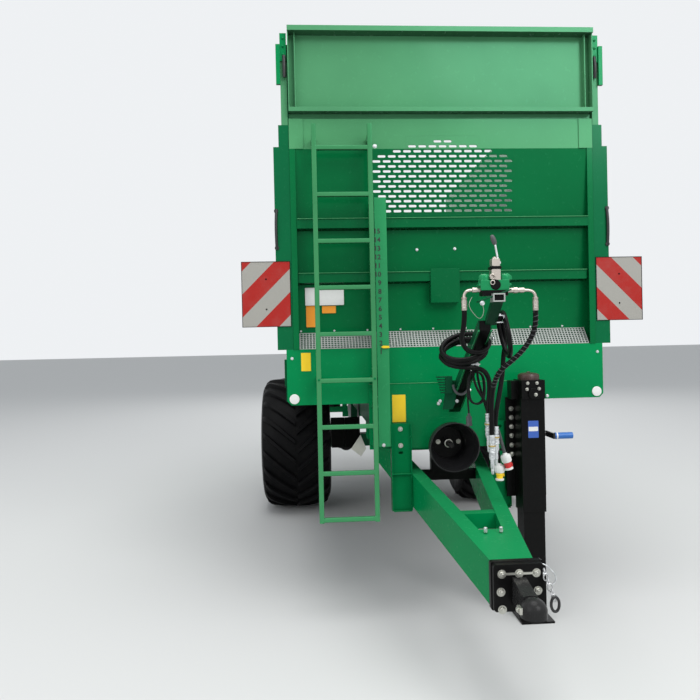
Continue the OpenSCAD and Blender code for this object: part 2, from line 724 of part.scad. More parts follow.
// Drop-centre rim with its dished plate, hub and brake drum
module rim_section() polygon([
    [rim_r - 24, -tyre_w / 2 + 60], [rim_r + 14, -tyre_w / 2 + 60], [rim_r + 14, -tyre_w / 2 + 68],
    [rim_r, -tyre_w / 2 + 72], [rim_r, -tyre_w / 2 + 180], [rim_r - 60, -tyre_w / 2 + 240],
    [rim_r - 60, tyre_w / 2 - 240], [rim_r, tyre_w / 2 - 180], [rim_r, tyre_w / 2 - 72],
    [rim_r + 14, tyre_w / 2 - 68], [rim_r + 14, tyre_w / 2 - 60], [rim_r - 24, tyre_w / 2 - 60],
    [rim_r - 24, tyre_w / 2 - 72], [rim_r - 10, tyre_w / 2 - 76], [rim_r - 10, tyre_w / 2 - 176],
    [rim_r - 70, tyre_w / 2 - 236], [rim_r - 70, 60], [150, 90], [150, 78], [rim_r - 70, 40],
    [rim_r - 70, -tyre_w / 2 + 236], [rim_r - 10, -tyre_w / 2 + 176], [rim_r - 10, -tyre_w / 2 + 76],
    [rim_r - 24, -tyre_w / 2 + 72]
]);
module rim() translate([wheel_x, axle_y, axle_z]) rotate([0, 90, 0]) {
    rotate_extrude($fn = 96) rim_section();
    rotate_extrude($fn = 64) polygon([
        [45 + run_gap, -200], [205, -200], [205, -60], [150, -30], [150, 130], [90, 150], [70, 210],
        [0, 215], [0, 100], [45 + run_gap, 100]
    ]);
}
module right_rim() on_frame() color(white) rim();
module left_rim() on_frame() color(white) mirror([1, 0, 0]) rim();

// Tyre: one profile of base and lug radii carried round in skewed columns, four to a lug
half_profile = [
    // [distance from the tyre's middle as a share of its half width, radius below the lug top, lug share]
    [0.06, 0, 1], [0.42, 4, 1], [0.78, 20, 1], [0.97, 70, 1], [1.0, 150, 0], [0.93, 260, 0]
];
bead_x = tyre_w / 2 - 74;
bead_gap = 1.2;
bead_h = 20;
tyre_cols = 4 * lug_count;
function lug_state(col) = (col % 4 == 1 || col % 4 == 2) ? 0 : 1;
function tyre_ring(side) = [for (p = half_profile) [side * p[0] * tyre_w / 2, tyre_r - p[1], p[2], side]];
tyre_rows = concat(
    [[-bead_x, rim_r + bead_gap, 0, -1], [-bead_x, rim_r + bead_h, 0, -1]],
    [for (i = [len(half_profile) - 1:-1:0]) tyre_ring(-1)[i]],
    tyre_ring(1),
    [[bead_x, rim_r + bead_h, 0, 1], [bead_x, rim_r + bead_gap, 0, 1]]
);
function col_share(col) = let (k = col % 4) floor(col / 4) + [0, 0.14, 0.5, 0.64][k];
skew_deg = 26;
function tyre_angle(col, row) =
    (col_share(col) + (row[3] > 0 ? 0.5 : 0)) * 360 / lug_count - skew_deg * abs(row[0]) / (tyre_w / 2);
module tyre_mesh() {
    pts = [for (c = [0:tyre_cols - 1]) for (row = tyre_rows)
        let (a = tyre_angle(c, row), r = row[1] - row[2] * lug_h * (1 - lug_state(c + 3)))
        [row[0], r * cos(a), r * sin(a)]];
    n = len(tyre_rows);
    faces = [for (c = [0:tyre_cols - 1]) for (k = [0:n - 1])
        let (c2 = (c + 1) % tyre_cols, k2 = (k + 1) % n,
             a = c * n + k, b = c * n + k2, d = c2 * n + k2, e = c2 * n + k)
        each [[a, d, b], [a, e, d]]];
    polyhedron(points = pts, faces = faces, convexity = 6);
}
module right_tyre() on_frame() color(rubber) translate([wheel_x, axle_y, axle_z]) tyre_mesh();
module left_tyre() on_frame() color(rubber) mirror([1, 0, 0]) translate([wheel_x, axle_y, axle_z]) tyre_mesh();

// Pair of wedge chocks hung on the left rail
chock_y = 1500;
chock_t = 120;
module wheel_chocks() on_frame() color(zinc) mirror([1, 0, 0]) translate([rail_x + rail_w / 2, 0, 0]) {
    block(0, 8, chock_y + 60, chock_y + 240, rail_z - 240, rail_z + 90);
    for (i = [0, 1]) across(8 + i * chock_t, 6 + (i + 1) * chock_t)
        translate([chock_y, rail_z - 280]) rotate(20) polygon([[0, 0], [330, 0], [230, 170], [180, 170]]);
    block(7, 8 + 2 * chock_t, chock_y + 140, chock_y + 160, rail_z - 180, rail_z - 160);
}

// Slide gate between the load and the beaters, with its beam over the side walls
gate_x = inner_x - 28;
gate_t = 6;
gate_top = wall_top_z + 20;
cyl_x = outer_x + 60;
module slide_gate() on_frame() color(green) {
    block(-gate_x, gate_x, gate_y, gate_y + gate_t, floor_z + 70, gate_top);
    for (z = [floor_z + 75, 2000, 2500])
        block(-gate_x, gate_x, gate_y + gate_t, gate_y + 34, z, z + 60);
    block(-cyl_x - 30, cyl_x + 30, gate_y - 10, gate_y + 40, gate_top, gate_top + 70);
}
cyl_low_z = 1640;
gate_cyl_r = 38;
gate_rod_r = 20;
cyl_top_z = 2960;
module gate_cylinders() on_frame() color(dark_green) both_sides() translate([cyl_x, gate_y + 15, 0]) {
    difference() {
        translate([0, 0, cyl_low_z]) cylinder(r = gate_cyl_r, h = cyl_top_z - cyl_low_z, $fn = 48);
        translate([0, 0, cyl_low_z + 20]) cylinder(r = gate_rod_r + 5, h = cyl_top_z - cyl_low_z - 60, $fn = 48);
        translate([0, 0, cyl_low_z + 20]) cylinder(r = gate_rod_r + run_gap, h = cyl_top_z - cyl_low_z, $fn = 48);
    }
    translate([outer_x - cyl_x, -30, cyl_low_z - 20]) cube([cyl_x - outer_x + 30, 60, 20]);
    translate([outer_x - cyl_x, -24, cyl_top_z - 140]) cube([cyl_x - outer_x - gate_cyl_r + 3, 48, 40]);
}
module gate_rods() on_frame() color(zinc) both_sides()
    translate([cyl_x, gate_y + 15, gate_top - gate_lift - 130]) cylinder(r = gate_rod_r, h = gate_lift + 130, $fn = 48);

// Side plates, posts and top beam of the beaters' housing
module rear_frame() on_frame() color(green) {
    both_sides() difference() {
        union() {
            across(inner_x + 1, inner_x + 9) polygon([
                [house_y, body_z - 60], [house_y, wall_top_z], [house_end - 60, wall_top_z],
                [house_end, wall_top_z - 70], [house_end, body_z + 40], [house_end - 140, body_z - 60]
            ]);
            block(inner_x + 9, outer_x, house_y, house_y + 90, body_z - 60, wall_top_z);
            block(inner_x + 9, outer_x - 20, house_y + 90, house_end - 140, wall_top_z - 110, wall_top_z - 50);
            rod_x(hinge_r, inner_x + 9, hood_x, hood_pivot[0], hood_pivot[1]);
            rod_x(hinge_r, outer_x, hood_cyl_x + 22, barrel_pin[0], barrel_pin[1]);
        }
        for (z = [low_beater_z, high_beater_z]) rod_x(beater_shaft_r, 0, 1200, beater_y, z);
    }
    block(-inner_x - 1, inner_x + 1, house_y + 20, house_y + 110, wall_top_z - 90, wall_top_z);
    block(-inner_x - 1, inner_x + 1, house_y + 50, house_y + 130, body_z - 60, body_z + 20);
}

// A tube with bolted flight strips and two spirals of square tines
beater_half = inner_x - 22;
module beater(z, hand) translate([0, beater_y, z]) {
    rod_x(beater_tube_r, -beater_half, beater_half, 0, 0);
    rod_x(beater_shaft_r - shaft_fit, -inner_x - 60, inner_x + 60, 0, 0);
    for (i = [0:tine_count - 1], start = [0, 180]) {
        x = -beater_half + 55 + i * (2 * beater_half - 110) / (tine_count - 1);
        turn = start + hand * i * 360 / tine_count * 1.5;
        rotate([turn, 0, 0]) translate([x - 22, -8, beater_tube_r - 14])
            cube([44, 16, beater_r - beater_tube_r + 14]);
    }
}
module lower_beater() on_frame() color(green) beater(low_beater_z, 1);
module upper_beater() on_frame() color(green) beater(high_beater_z, -1);

// Deck over the discs: floor guide, side wings and the carrier of the gearboxes
deck_z = disc_z + 330;
hanger_y = house_y + 20;
module spreader_deck() on_frame() color(dark_green) {
    both_sides() block(120, 200, hanger_y, disc_y + 60, disc_z - 190, disc_z - 110);
    block(-800, 800, disc_y - 60, disc_y + 60, disc_z - 190, disc_z - 110);
    both_sides() block(rail_x - 30, rail_x + 30, hanger_y, hanger_y + 60, disc_z - 110, rail_z);
    both_sides() block(120, rail_x + 30, hanger_y, hanger_y + 60, disc_z - 190, disc_z - 110);
    both_sides() across(inner_x + 1, inner_x + 6) polygon([
        [house_y + 230, body_z - 60], [house_end - 142, body_z - 60], [house_end - 60, disc_z + 130],
        [house_y + 215, disc_z + 130]
    ]);
}

cross_z = pto_z - 50;
cross_r = 40;
module spreader_gearbox() on_frame() color(black) {
    block(-95, 95, gearbox_y, gearbox_y + 180, pto_z - 110, pto_z + 110);
    block(-rail_x + rail_w / 2, rail_x - rail_w / 2, gearbox_y + 20, gearbox_y + 160, pto_z + 110, pto_z + 125);
    rod_x(cross_r, 95, inner_x + 9, gearbox_y + 90, cross_z);
    both_sides() translate([disc_x, disc_y, disc_z - 110]) cylinder(r = 95, h = 82 - run_gap, $fn = 48);
}

// Chain case on the right and bearing flanges on the left of the beaters
case_w = 60;
module beater_drive() on_frame() color(dark_green) {
    difference() {
        across(inner_x + 9, inner_x + 9 + case_w) polygon([
            [gearbox_y + 32, cross_z - 60], [gearbox_y + 150, cross_z - 60],
            [beater_y + 85, low_beater_z - 60], [beater_y + 85, high_beater_z + 85],
            [beater_y - 85, high_beater_z + 85], [beater_y - 85, low_beater_z - 20]
        ]);
        for (z = [low_beater_z, high_beater_z])
            rod_x(beater_shaft_r, inner_x, inner_x + 61, beater_y, z);
    }
    for (z = [low_beater_z, high_beater_z]) difference() {
        rod_x(90, -inner_x - 49, -inner_x - 9, beater_y, z);
        rod_x(beater_shaft_r, -inner_x - 60, -inner_x, beater_y, z);
    }
}

// Spinner with a shallow cone and bolted vanes
module disc(x) translate([x, disc_y, disc_z]) {
    rotate_extrude($fn = 96) polygon([
        [0, -28], [60, -28], [60, 0], [disc_r, 0], [disc_r, 6], [130, 6], [70, 60], [0, 60]
    ]);
    for (i = [0:vane_count - 1]) rotate([0, 0, i * 360 / vane_count])
        translate([135, -4, 6]) cube([disc_r - 145, 8, 70]);
}
module left_disc() on_frame() color(zinc) disc(-disc_x);
module right_disc() on_frame() color(zinc) disc(disc_x);

// Rear hood: a bent flap hung at the housing's top edge, with side cheeks
module hood_side(t) polygon([
    [hood_pivot[0] + 70, hood_pivot[1] + 30], [hood_pivot[0] + 200, hood_pivot[1] - 120],
    [hood_foot[0], hood_foot[1] + 250], [hood_foot[0] + 15, hood_foot[1]],
    [hood_foot[0] + 15 - t, hood_foot[1]], [hood_foot[0] - t, hood_foot[1] + 248],
    [hood_pivot[0] + 200 - t, hood_pivot[1] - 120 - t / 2], [hood_pivot[0] + 70, hood_pivot[1] + 30 - 1.5 * t]
]);
module rear_hood() on_frame() color(green) {
    across(-hood_x, hood_x) hood_side(hood_t);
    both_sides() {
        across(hood_x - hood_t, hood_x) polygon([
            [hood_pivot[0] + 90, hood_pivot[1] + 1], [hood_pivot[0] + 198, hood_pivot[1] - 123],
            [hood_foot[0] - 2, hood_foot[1] + 248], [hood_foot[0] + 12, hood_foot[1]],
            [house_end + 160, hood_foot[1]], [house_end + 12, hood_foot[1] + 400], [house_end + 12, hood_pivot[1] - 40]
        ]);
        difference() {
            across(hood_x - 28, hood_x - 12) polygon([
                [hood_pivot[0] - 26, hood_pivot[1] - 26], [hood_pivot[0] - 26, hood_pivot[1] + 26],
                [hood_pivot[0] + 70, hood_pivot[1] + 26], [hood_pivot[0] + 92, hood_pivot[1]],
                [hood_pivot[0] + 80, hood_pivot[1] - 26]
            ]);
            rod_x(hinge_r + run_gap, 0, 1300, hood_pivot[0], hood_pivot[1]);
        }
        block(hood_x, hood_x + 14, rod_pin[0] - 20, rod_pin[0] + 40, rod_pin[1] - 25, rod_pin[1] + 25);
    }
}

// Hood cylinders: each barrel turns on the frame's pin, each rod ends beside its lug
hood_cyl_r = 28;
hood_rod_r = 14;
hood_cyl_len = norm(rod_pin - barrel_pin);
hood_cyl_deg = atan2(rod_pin[1] - barrel_pin[1], rod_pin[0] - barrel_pin[0]);
barrel_l = hood_cyl_len - 220;
module on_hood_cyl() translate([hood_cyl_x, barrel_pin[0], barrel_pin[1]])
    rotate([hood_cyl_deg - 90, 0, 0]) children();
module hood_barrels() on_frame() color(black) both_sides() on_hood_cyl() difference() {
    union() {
        translate([0, 0, 26]) cylinder(r = hood_cyl_r, h = barrel_l - 26, $fn = 48);
        translate([-14, 0, 0]) rotate([0, 90, 0]) cylinder(r = hood_cyl_r, h = 28, $fn = 48);
    }
    translate([0, 0, 60]) cylinder(r = hood_rod_r + run_gap, h = barrel_l, $fn = 48);
    rotate([0, 90, 0]) cylinder(r = hinge_r + run_gap, h = 100, center = true, $fn = 48);
}
module hood_rods() on_frame() color(zinc) both_sides() on_hood_cyl() {
    translate([0, 0, 80]) cylinder(r = hood_rod_r, h = hood_cyl_len - 80 - 22, $fn = 48);
    translate([hood_x + 14 + run_gap - hood_cyl_x, 0, hood_cyl_len]) rotate([0, 90, 0])
        cylinder(r = 24, h = hood_cyl_x + 14 - hood_x - 14 - run_gap, $fn = 48);
}

module rear_lamps() on_frame() color("firebrick") both_sides()
    block(inner_x - 120, inner_x + 55, hood_foot[0] + 15, back_y, hood_foot[1] + 5, hood_foot[1] + 115);

// The big coil hangs tilted over the arm; a turn is an angle round it and up runs along its axis
coil_place = [-35, -620, 1643];
coil_tilt = [29, -14.5];
coil_r = 142;
coil_w = 34;
coil_h = 92;
module on_coil_axis() translate(coil_place) rotate([coil_tilt[0], coil_tilt[1], 0]) children();
function tip_back(v, a) = [v[0], v[1] * cos(a) - v[2] * sin(a), v[1] * sin(a) + v[2] * cos(a)];
function tip_side(v, a) = [v[0] * cos(a) + v[2] * sin(a), v[1], v[2] * cos(a) - v[0] * sin(a)];
function on_coil(turn, up) = coil_place
    + tip_side(tip_back([coil_r * cos(turn), coil_r * sin(turn), up], coil_tilt[0]), coil_tilt[1]);

// Hose arm: an open square tube that plugs into a channel on the lower front plate
arm_x = 69;
arm_w = 55;
arm_h = 36;
arm_end = [-925, 1890];
arm_rise = 0.77;
channel_x = [4, 74];
channel_h = 92;
channel_y = [-770, -low_plate_t];
channel_rise = 0.6;
channel_low_rise = 0.65;
channel_foot = 1335;
function arm_z(y) = arm_end[1] - arm_rise * (y - arm_end[0]);
function channel_z(y) = channel_foot - channel_rise * y;
function channel_low(y) = channel_foot - channel_h - channel_low_rise * y;
rack_y = -210;
rest_h = 80;
module hose_holder() on_frame() color(dark_green) {
    difference() {
        across(arm_x - arm_w / 2, arm_x + arm_w / 2) polygon([
            arm_end, [arm_end[0], arm_end[1] + arm_h], [channel_y[0], arm_z(channel_y[0]) + arm_h],
            [channel_y[0], arm_z(channel_y[0])]
        ]);
        across(arm_x - arm_w / 2 + 5, arm_x + arm_w / 2 - 5) polygon([
            [arm_end[0] - 1, arm_z(arm_end[0] - 1) + 5], [arm_end[0] - 1, arm_z(arm_end[0] - 1) + arm_h - 5],
            [arm_end[0] + 90, arm_z(arm_end[0] + 90) + arm_h - 5], [arm_end[0] + 90, arm_z(arm_end[0] + 90) + 5]
        ]);
    }
    across(channel_x[0], channel_x[1]) polygon([
        [channel_y[0], channel_z(channel_y[0])], [channel_y[1], channel_z(channel_y[1])],
        [channel_y[1], channel_low(channel_y[1])], [channel_y[0], channel_low(channel_y[0])]
    ]);
    along(rack_y, rack_y + 8) polygon([[channel_x[0], 1460], [channel_x[0], 1330], [-16, 1287], [-76, 1287], [-46, 1460]]);
    for (i = [0:6]) block(-112 + 4 * i, -44 + 4 * i, rack_y - 24, rack_y, 1478 - 15.5 * i, 1486 - 15.5 * i);
    block(-60, -20, rack_y - 24, rack_y, 1385, 1486);
    on_coil_axis() translate([60, 118, -coil_h / 2 - run_gap - rest_h]) cube([24, 24, rest_h]);
}

// Valve on its slanted plate, with two pipes that turn down to the hoses
valve_y = -880;
valve_z = 1946;
pipe_r = 9;
ferrule_r = 15;
ferrule_h = 48;
left_hose_top = [-92, valve_y, 1852];
right_hose_top = [269, valve_y, 1846];
module valve_pipe(x0, top, z) {
    rod_x(pipe_r, min(x0, top[0]), max(x0, top[0]), valve_y, z);
    translate([top[0], valve_y, top[2] + ferrule_h]) cylinder(r = pipe_r, h = z - top[2] - ferrule_h, $fn = 32);
    translate([top[0], valve_y, z]) sphere(r = pipe_r, $fn = 32);
    translate(top) cylinder(r = ferrule_r, h = ferrule_h, $fn = 32);
}
module control_valve() on_frame() color(green) {
    block(-20, 140, valve_y - 34, valve_y + 34, arm_z(valve_y - 34) + arm_h, arm_z(valve_y - 34) + arm_h + 14);
    block(-12, 128, valve_y - 30, valve_y + 30, arm_z(valve_y - 34) + arm_h + 14, valve_z + 46);
    for (x = [12, 116]) translate([x, valve_y, valve_z + 46]) cylinder(r = 28, h = 34, $fn = 48);
    rod_y(20, valve_y - 48, valve_y, 60, valve_z + 26);
    translate([66, valve_y, valve_z + 46]) cylinder(r = 21, h = 106, $fn = 32);
    translate([78, valve_y - 8, valve_z + 130]) rotate([0, -9, 0]) cylinder(r = 5, h = 110, $fn = 24);
    translate([63, valve_y - 8, valve_z + 226]) rotate([0, -9, 0]) cylinder(r = 11, h = 46, $fn = 24);
    valve_pipe(-11, left_hose_top, valve_z);
    valve_pipe(127, right_hose_top, valve_z - 8);
    rod_x(14, -52, -12, valve_y, valve_z);
    rod_x(14, 128, 216, valve_y, valve_z - 8);
}

// A hose: rings of hose_sides points square to the route, with flat ends.
// The side is an axis that the route never runs along.
hose_sides = 8;
function unit(v) = v / norm(v);
function heading(p, i) = unit(p[min(i + 1, len(p) - 1)] - p[max(i - 1, 0)]);
function ring(centre, ahead, side, r) = let (u = unit(cross(ahead, side)), v = cross(ahead, u))
    [for (k = [0:hose_sides - 1]) let (a = 360 * k / hose_sides) centre + r * (cos(a) * u + sin(a) * v)];
module tube(route, r, side = [0, 1, 0]) {
    n = hose_sides;
    last = len(route) - 1;
    points = [for (i = [0:last]) each ring(route[i], heading(route, i), side, r)];
    walls = [for (i = [0:last - 1], k = [0:n - 1]) let (a = i * n + k, b = i * n + (k + 1) % n)
        each [[a, a + n, b], [b, a + n, b + n]]];
    polyhedron(points = points, faces = concat(
        walls, [[for (k = [0:n - 1]) k]], [[for (k = [n - 1:-1:0]) last * n + k]]
    ));
}

// Routes of the hoses, from the valve or the arm to the coil or a coupling
hose_r = 13;
air_r = 7;
air_top = channel_low(-500 + air_r) - run_gap;
ring_foot = 1646.9;
coil_in = [
    left_hose_top, [-92, -880, 1800], [-95, -868, 1752], [-101, -838, 1708], on_coil(235, 88), on_coil(235, coil_h / 2 + run_gap)
];
coil_out = [
    on_coil(-20, -coil_h / 2 - run_gap), on_coil(-20, -86), [118, -604, 1540], [108, -600, 1480], [94, -608, 1410],
    [88, -620, 1350], [88, -620, 1296]
];
right_hose = [
    right_hose_top, [269, -880, 1794], [266, -868, 1738], [243, -852, 1682], [204, -842, 1630], [158, -838, 1588],
    [114, -812, 1550], [96, -768, 1505], [92, -718, 1450], [92, -684, 1390], [92, -672, 1330], [92, -672, 1260],
    [92, -672, 1186]
];
loop_out = [[180, -606, ring_foot], [180, -606, 1590], [176, -608, 1530], [165, -615, 1470], [148, -628, 1400],
    [130, -640, 1330], [120, -645, 1275], [120, -645, 1228]];
red_air = [[40, -500, air_top], [40, -500, 1490], [56, -522, 1425], [84, -552, 1370], [114, -580, 1315],
    [132, -592, 1264], [146, -592, 1212]];
yellow_air = [[64, -500, air_top], [64, -500, 1490], [82, -510, 1410], [104, -522, 1320], [126, -535, 1230],
    [144, -550, 1150], [160, -565, 1070], [160, -565, 1024]];
module valve_hoses() on_frame() color(rubber) {
    tube(coil_in, hose_r);
    tube(right_hose, hose_r);
}
module supply_hoses() on_frame() color(rubber) {
    tube(coil_out, hose_r);
    tube(loop_out, hose_r);
    tube(red_air, air_r);
    tube(yellow_air, air_r);
}

// The big coil, the upright ring of hose beside the arm and the cable's coil under it
ring_r = 118;
ring_w = 56;
ring_d = 28;
ring_turn = [0, 79.5, -10];
ring_place = [arm_x + arm_w / 2 + 57.55, -725, 1722];
cable_y = [-470, -430];
cable_r = 46;
cable_x = 70;
cable_low = 1335;
module hose_coils() on_frame() color(rubber) {
    on_coil_axis() rotate_extrude($fn = 64) translate([coil_r, 0]) round_rect(coil_w, coil_h, coil_w / 2 - 1);
    translate(ring_place) rotate(ring_turn) rotate_extrude($fn = 64)
        translate([ring_r, 0]) round_rect(ring_d, ring_w, ring_d / 2 - 1);
    along(cable_y[0], cable_y[1]) hull() for (z = [cable_low + cable_r, channel_low(cable_y[1]) - run_gap - cable_r])
        translate([cable_x, z]) circle(r = cable_r, $fn = 32);
}

// Plugs: steel ones as [radius, length] from the top down, then the two of the air brake
plug_steps = [[15, 40], [19, 46], [16, 34], [11, 50], [8, 34]];
module plug(top) translate(top) for (i = [0:len(plug_steps) - 1])
    translate([0, 0, -plug_down(i)]) cylinder(r = plug_steps[i][0], h = plug_steps[i][1], $fn = 32);
function plug_down(i) = i < 0 ? 0 : plug_steps[i][1] + plug_down(i - 1);
module air_plug(top, lean, sleeve) translate(top) rotate([0, lean, 0]) {
    translate([0, 0, -sleeve]) cylinder(r = 9, h = sleeve, $fn = 32);
    translate([0, 0, -sleeve - 44]) cylinder(r = 26, h = 44, $fn = 48);
    translate([0, 0, -sleeve - 74]) cylinder(r = 17, h = 30, $fn = 48);
    translate([0, 0, -sleeve - 86]) cylinder(r = 23, h = 12, $fn = 48);
}
module hose_couplings() on_frame() color(zinc) {
    plug(coil_out[len(coil_out) - 1]);
    plug(right_hose[len(right_hose) - 1]);
    plug(loop_out[len(loop_out) - 1]);
    air_plug(red_air[len(red_air) - 1], -15.1, 145);
    air_plug(yellow_air[len(yellow_air) - 1], 0, 12);
}

chassis_rails();
outriggers();
drawbar();
hitch_plate();
ball_coupling();
jack_plate();
beam_consoles();
jack_housing();
jack_crank();
jack_leg();
front_cross_member();
lower_front_plate();
pto_bearing();
pto_shield();
drive_shaft();
front_wall();
view_grille();
front_posts();
front_ribs();
front_extension();
perforated_strip();
ladder();
level_scale();
warning_boards();
left_side_wall();
right_side_wall();
left_side_board();
right_side_board();
board_latches();
floor_plate();
scraper_floor();
floor_shafts();
axle();
brakes();
left_rim();
left_tyre();
right_rim();
right_tyre();
wheel_chocks();
slide_gate();
gate_cylinders();
gate_rods();
rear_frame();
spreader_deck();
spreader_gearbox();
beater_drive();
lower_beater();
upper_beater();
left_disc();
right_disc();
rear_hood();
hood_barrels();
hood_rods();
rear_lamps();
hose_holder();
control_valve();
valve_hoses();
hose_coils();
supply_hoses();
hose_couplings();
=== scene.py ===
# Towed manure spreader: finishes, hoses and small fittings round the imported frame.
# Pieces are drawn in millimetres from the front posts' plane: X to the right as seen from the front,
# Y rearward, Z up from the ground. at() turns them into the frame's metres.
import bpy
import bmesh
import json
import math
import random
from mathutils import Matrix, Vector


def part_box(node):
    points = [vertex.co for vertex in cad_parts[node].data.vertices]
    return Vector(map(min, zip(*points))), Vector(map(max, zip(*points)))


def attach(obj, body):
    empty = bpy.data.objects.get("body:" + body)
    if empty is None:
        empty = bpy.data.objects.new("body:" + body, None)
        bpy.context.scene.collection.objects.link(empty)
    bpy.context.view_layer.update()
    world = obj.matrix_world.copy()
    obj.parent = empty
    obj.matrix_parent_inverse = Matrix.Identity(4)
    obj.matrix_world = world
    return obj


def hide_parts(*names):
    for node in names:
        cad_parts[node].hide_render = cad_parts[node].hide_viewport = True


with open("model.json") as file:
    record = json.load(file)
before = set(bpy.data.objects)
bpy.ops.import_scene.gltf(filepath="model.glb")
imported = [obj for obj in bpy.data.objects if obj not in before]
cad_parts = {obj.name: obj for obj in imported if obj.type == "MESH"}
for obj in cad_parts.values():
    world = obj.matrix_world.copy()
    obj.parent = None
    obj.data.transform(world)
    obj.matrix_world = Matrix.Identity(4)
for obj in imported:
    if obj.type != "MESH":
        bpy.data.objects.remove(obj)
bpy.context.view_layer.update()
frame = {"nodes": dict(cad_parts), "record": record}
chance = random.Random(7)

# Y of the front posts' plane in the frame
FRONT_Y = -2.148


# Camera

PICTURE = 700              # pixels across the picture
FOCAL = 674                # focal length in pixels
DEPTH_POINT = (307, 345)   # where the machine's long axis runs to in the picture
HORIZON_RISE = 0.0218      # rise of the horizon to the right
EYE = Vector((-0.876, FRONT_Y - 4.188, 1.69))


def make_camera():
    half = PICTURE / 2
    rearward = Vector(((DEPTH_POINT[0] - half) / FOCAL, (half - DEPTH_POINT[1]) / FOCAL, -1)).normalized()
    up = Vector((1, HORIZON_RISE, 0)).cross(rearward).normalized()
    right = rearward.cross(up)
    # Rows are the camera's axes seen from the machine's
    turn = Matrix((right, rearward, up))
    lens = bpy.data.cameras.new("camera")
    lens.sensor_fit = "HORIZONTAL"
    lens.sensor_width = 36
    lens.lens = 36 * FOCAL / PICTURE
    lens.clip_end = 400
    camera = bpy.data.objects.new("camera", lens)
    camera.matrix_world = Matrix.Translation(EYE) @ turn.to_4x4()
    bpy.context.scene.collection.objects.link(camera)
    bpy.context.scene.camera = camera


make_camera()


# Shader values

class Value:
    """A material's socket; Python's operators on it add Math nodes."""

    def __init__(self, finish, socket):
        self.finish = finish
        self.socket = socket

    def maths(self, operation, *values):
        return self.finish.node("ShaderNodeMath", {"operation": operation}, dict(enumerate(values)))

    def __add__(self, other):
        return self.maths("ADD", self, other)

    def __radd__(self, other):
        return self.maths("ADD", other, self)

    def __sub__(self, other):
        return self.maths("SUBTRACT", self, other)

    def __rsub__(self, other):
        return self.maths("SUBTRACT", other, self)

    def __mul__(self, other):
        return self.maths("MULTIPLY", self, other)

    def __rmul__(self, other):
        return self.maths("MULTIPLY", other, self)

    def __truediv__(self, other):
        return self.maths("DIVIDE", self, other)

    def __gt__(self, other):
        return self.maths("GREATER_THAN", self, other)

    def __lt__(self, other):
        return self.maths("LESS_THAN", self, other)

    def __abs__(self):
        return self.maths("ABSOLUTE", self)

    def part_of(self, pitch):
        """What is left after whole steps of the pitch, as a share of one step."""
        return self.maths("FRACT", self / pitch)

    def clamped(self):
        return self.finish.node("ShaderNodeClamp", {}, {0: self})


class Nodes:
    """The nodes of a material or of the sky."""

    def __init__(self, tree):
        self.tree = tree

    def node(self, kind, settings, sockets, output=0):
        made = self.tree.nodes.new(kind)
        for key, value in settings.items():
            if key == "stops":
                self.set_stops(made.color_ramp, value)
            else:
                setattr(made, key, value)
        for key, value in sockets.items():
            self.feed(made.inputs[key], value)
        return Value(self, made.outputs[output])

    def set_stops(self, ramp, stops):
        while len(ramp.elements) < len(stops):
            ramp.elements.new(0.5)
        for element, (position, colour) in zip(ramp.elements, stops):
            element.position = position
            element.color = (*colour, 1) if len(colour) == 3 else colour

    def feed(self, socket, value):
        if isinstance(value, Value):
            self.tree.links.new(value.socket, socket)
        elif isinstance(value, tuple) and len(value) == 3 and socket.type == "RGBA":
            socket.default_value = (*value, 1)
        else:
            socket.default_value = value


FINISHES = {}


class Finish(Nodes):
    """One material: a Principled shader, the surface's place and the nodes that vary it."""

    def __init__(self, name):
        self.material = FINISHES[name] = bpy.data.materials.new(name)
        self.material.use_nodes = True
        super().__init__(self.material.node_tree)
        self.shader = self.tree.nodes["Principled BSDF"]
        self.place = self.node("ShaderNodeTexCoord", {}, {}, "Object")

    def set(self, **sockets):
        """Sockets of the shader, with _ for a space in their names."""
        for key, value in sockets.items():
            self.feed(self.shader.inputs[key.replace("_", " ")], value)

    def noise(self, scale, detail=3.0, roughness=0.55, place=None, output=0):
        return self.node("ShaderNodeTexNoise", {}, {"Vector": place or self.place, "Scale": scale,
                                                    "Detail": detail, "Roughness": roughness}, output)

    def span(self, value, low, high, to_low=0.0, to_high=1.0):
        return self.node("ShaderNodeMapRange", {}, {0: value, 1: low, 2: high, 3: to_low, 4: to_high})

    def mix(self, share, first, second):
        return self.node("ShaderNodeMix", {"data_type": "RGBA"}, {0: share, 6: first, 7: second}, 2)

    def axes(self, place=None):
        first = self.node("ShaderNodeSeparateXYZ", {}, {0: place or self.place})
        return [Value(self, out) for out in first.socket.node.outputs]

    def stretched(self, scale):
        """The surface's place, scaled along each axis."""
        return self.node("ShaderNodeVectorMath", {"operation": "MULTIPLY"}, {0: self.place, 1: scale})

    def upward(self, low=0.3):
        """How far the surface faces up, from 0 at the low limit to 1 on a level top."""
        facing = self.node("ShaderNodeNewGeometry", {}, {}, "Normal")
        return self.span(self.axes(facing)[2], low, 1.0)

    def beneath(self):
        """How far the surface faces down, for painted shade on undersides."""
        facing = self.node("ShaderNodeNewGeometry", {}, {}, "Normal")
        return self.span(self.axes(facing)[2], -0.25, -0.9)

    def bump(self, height, strength=0.2, distance=0.002, edge=0.0):
        sockets = {"Height": height, "Strength": strength, "Distance": distance}
        if edge:
            sockets["Normal"] = self.node("ShaderNodeBevel", {"samples": 4}, {"Radius": edge})
        self.feed(self.shader.inputs["Normal"], self.node("ShaderNodeBump", {}, sockets))


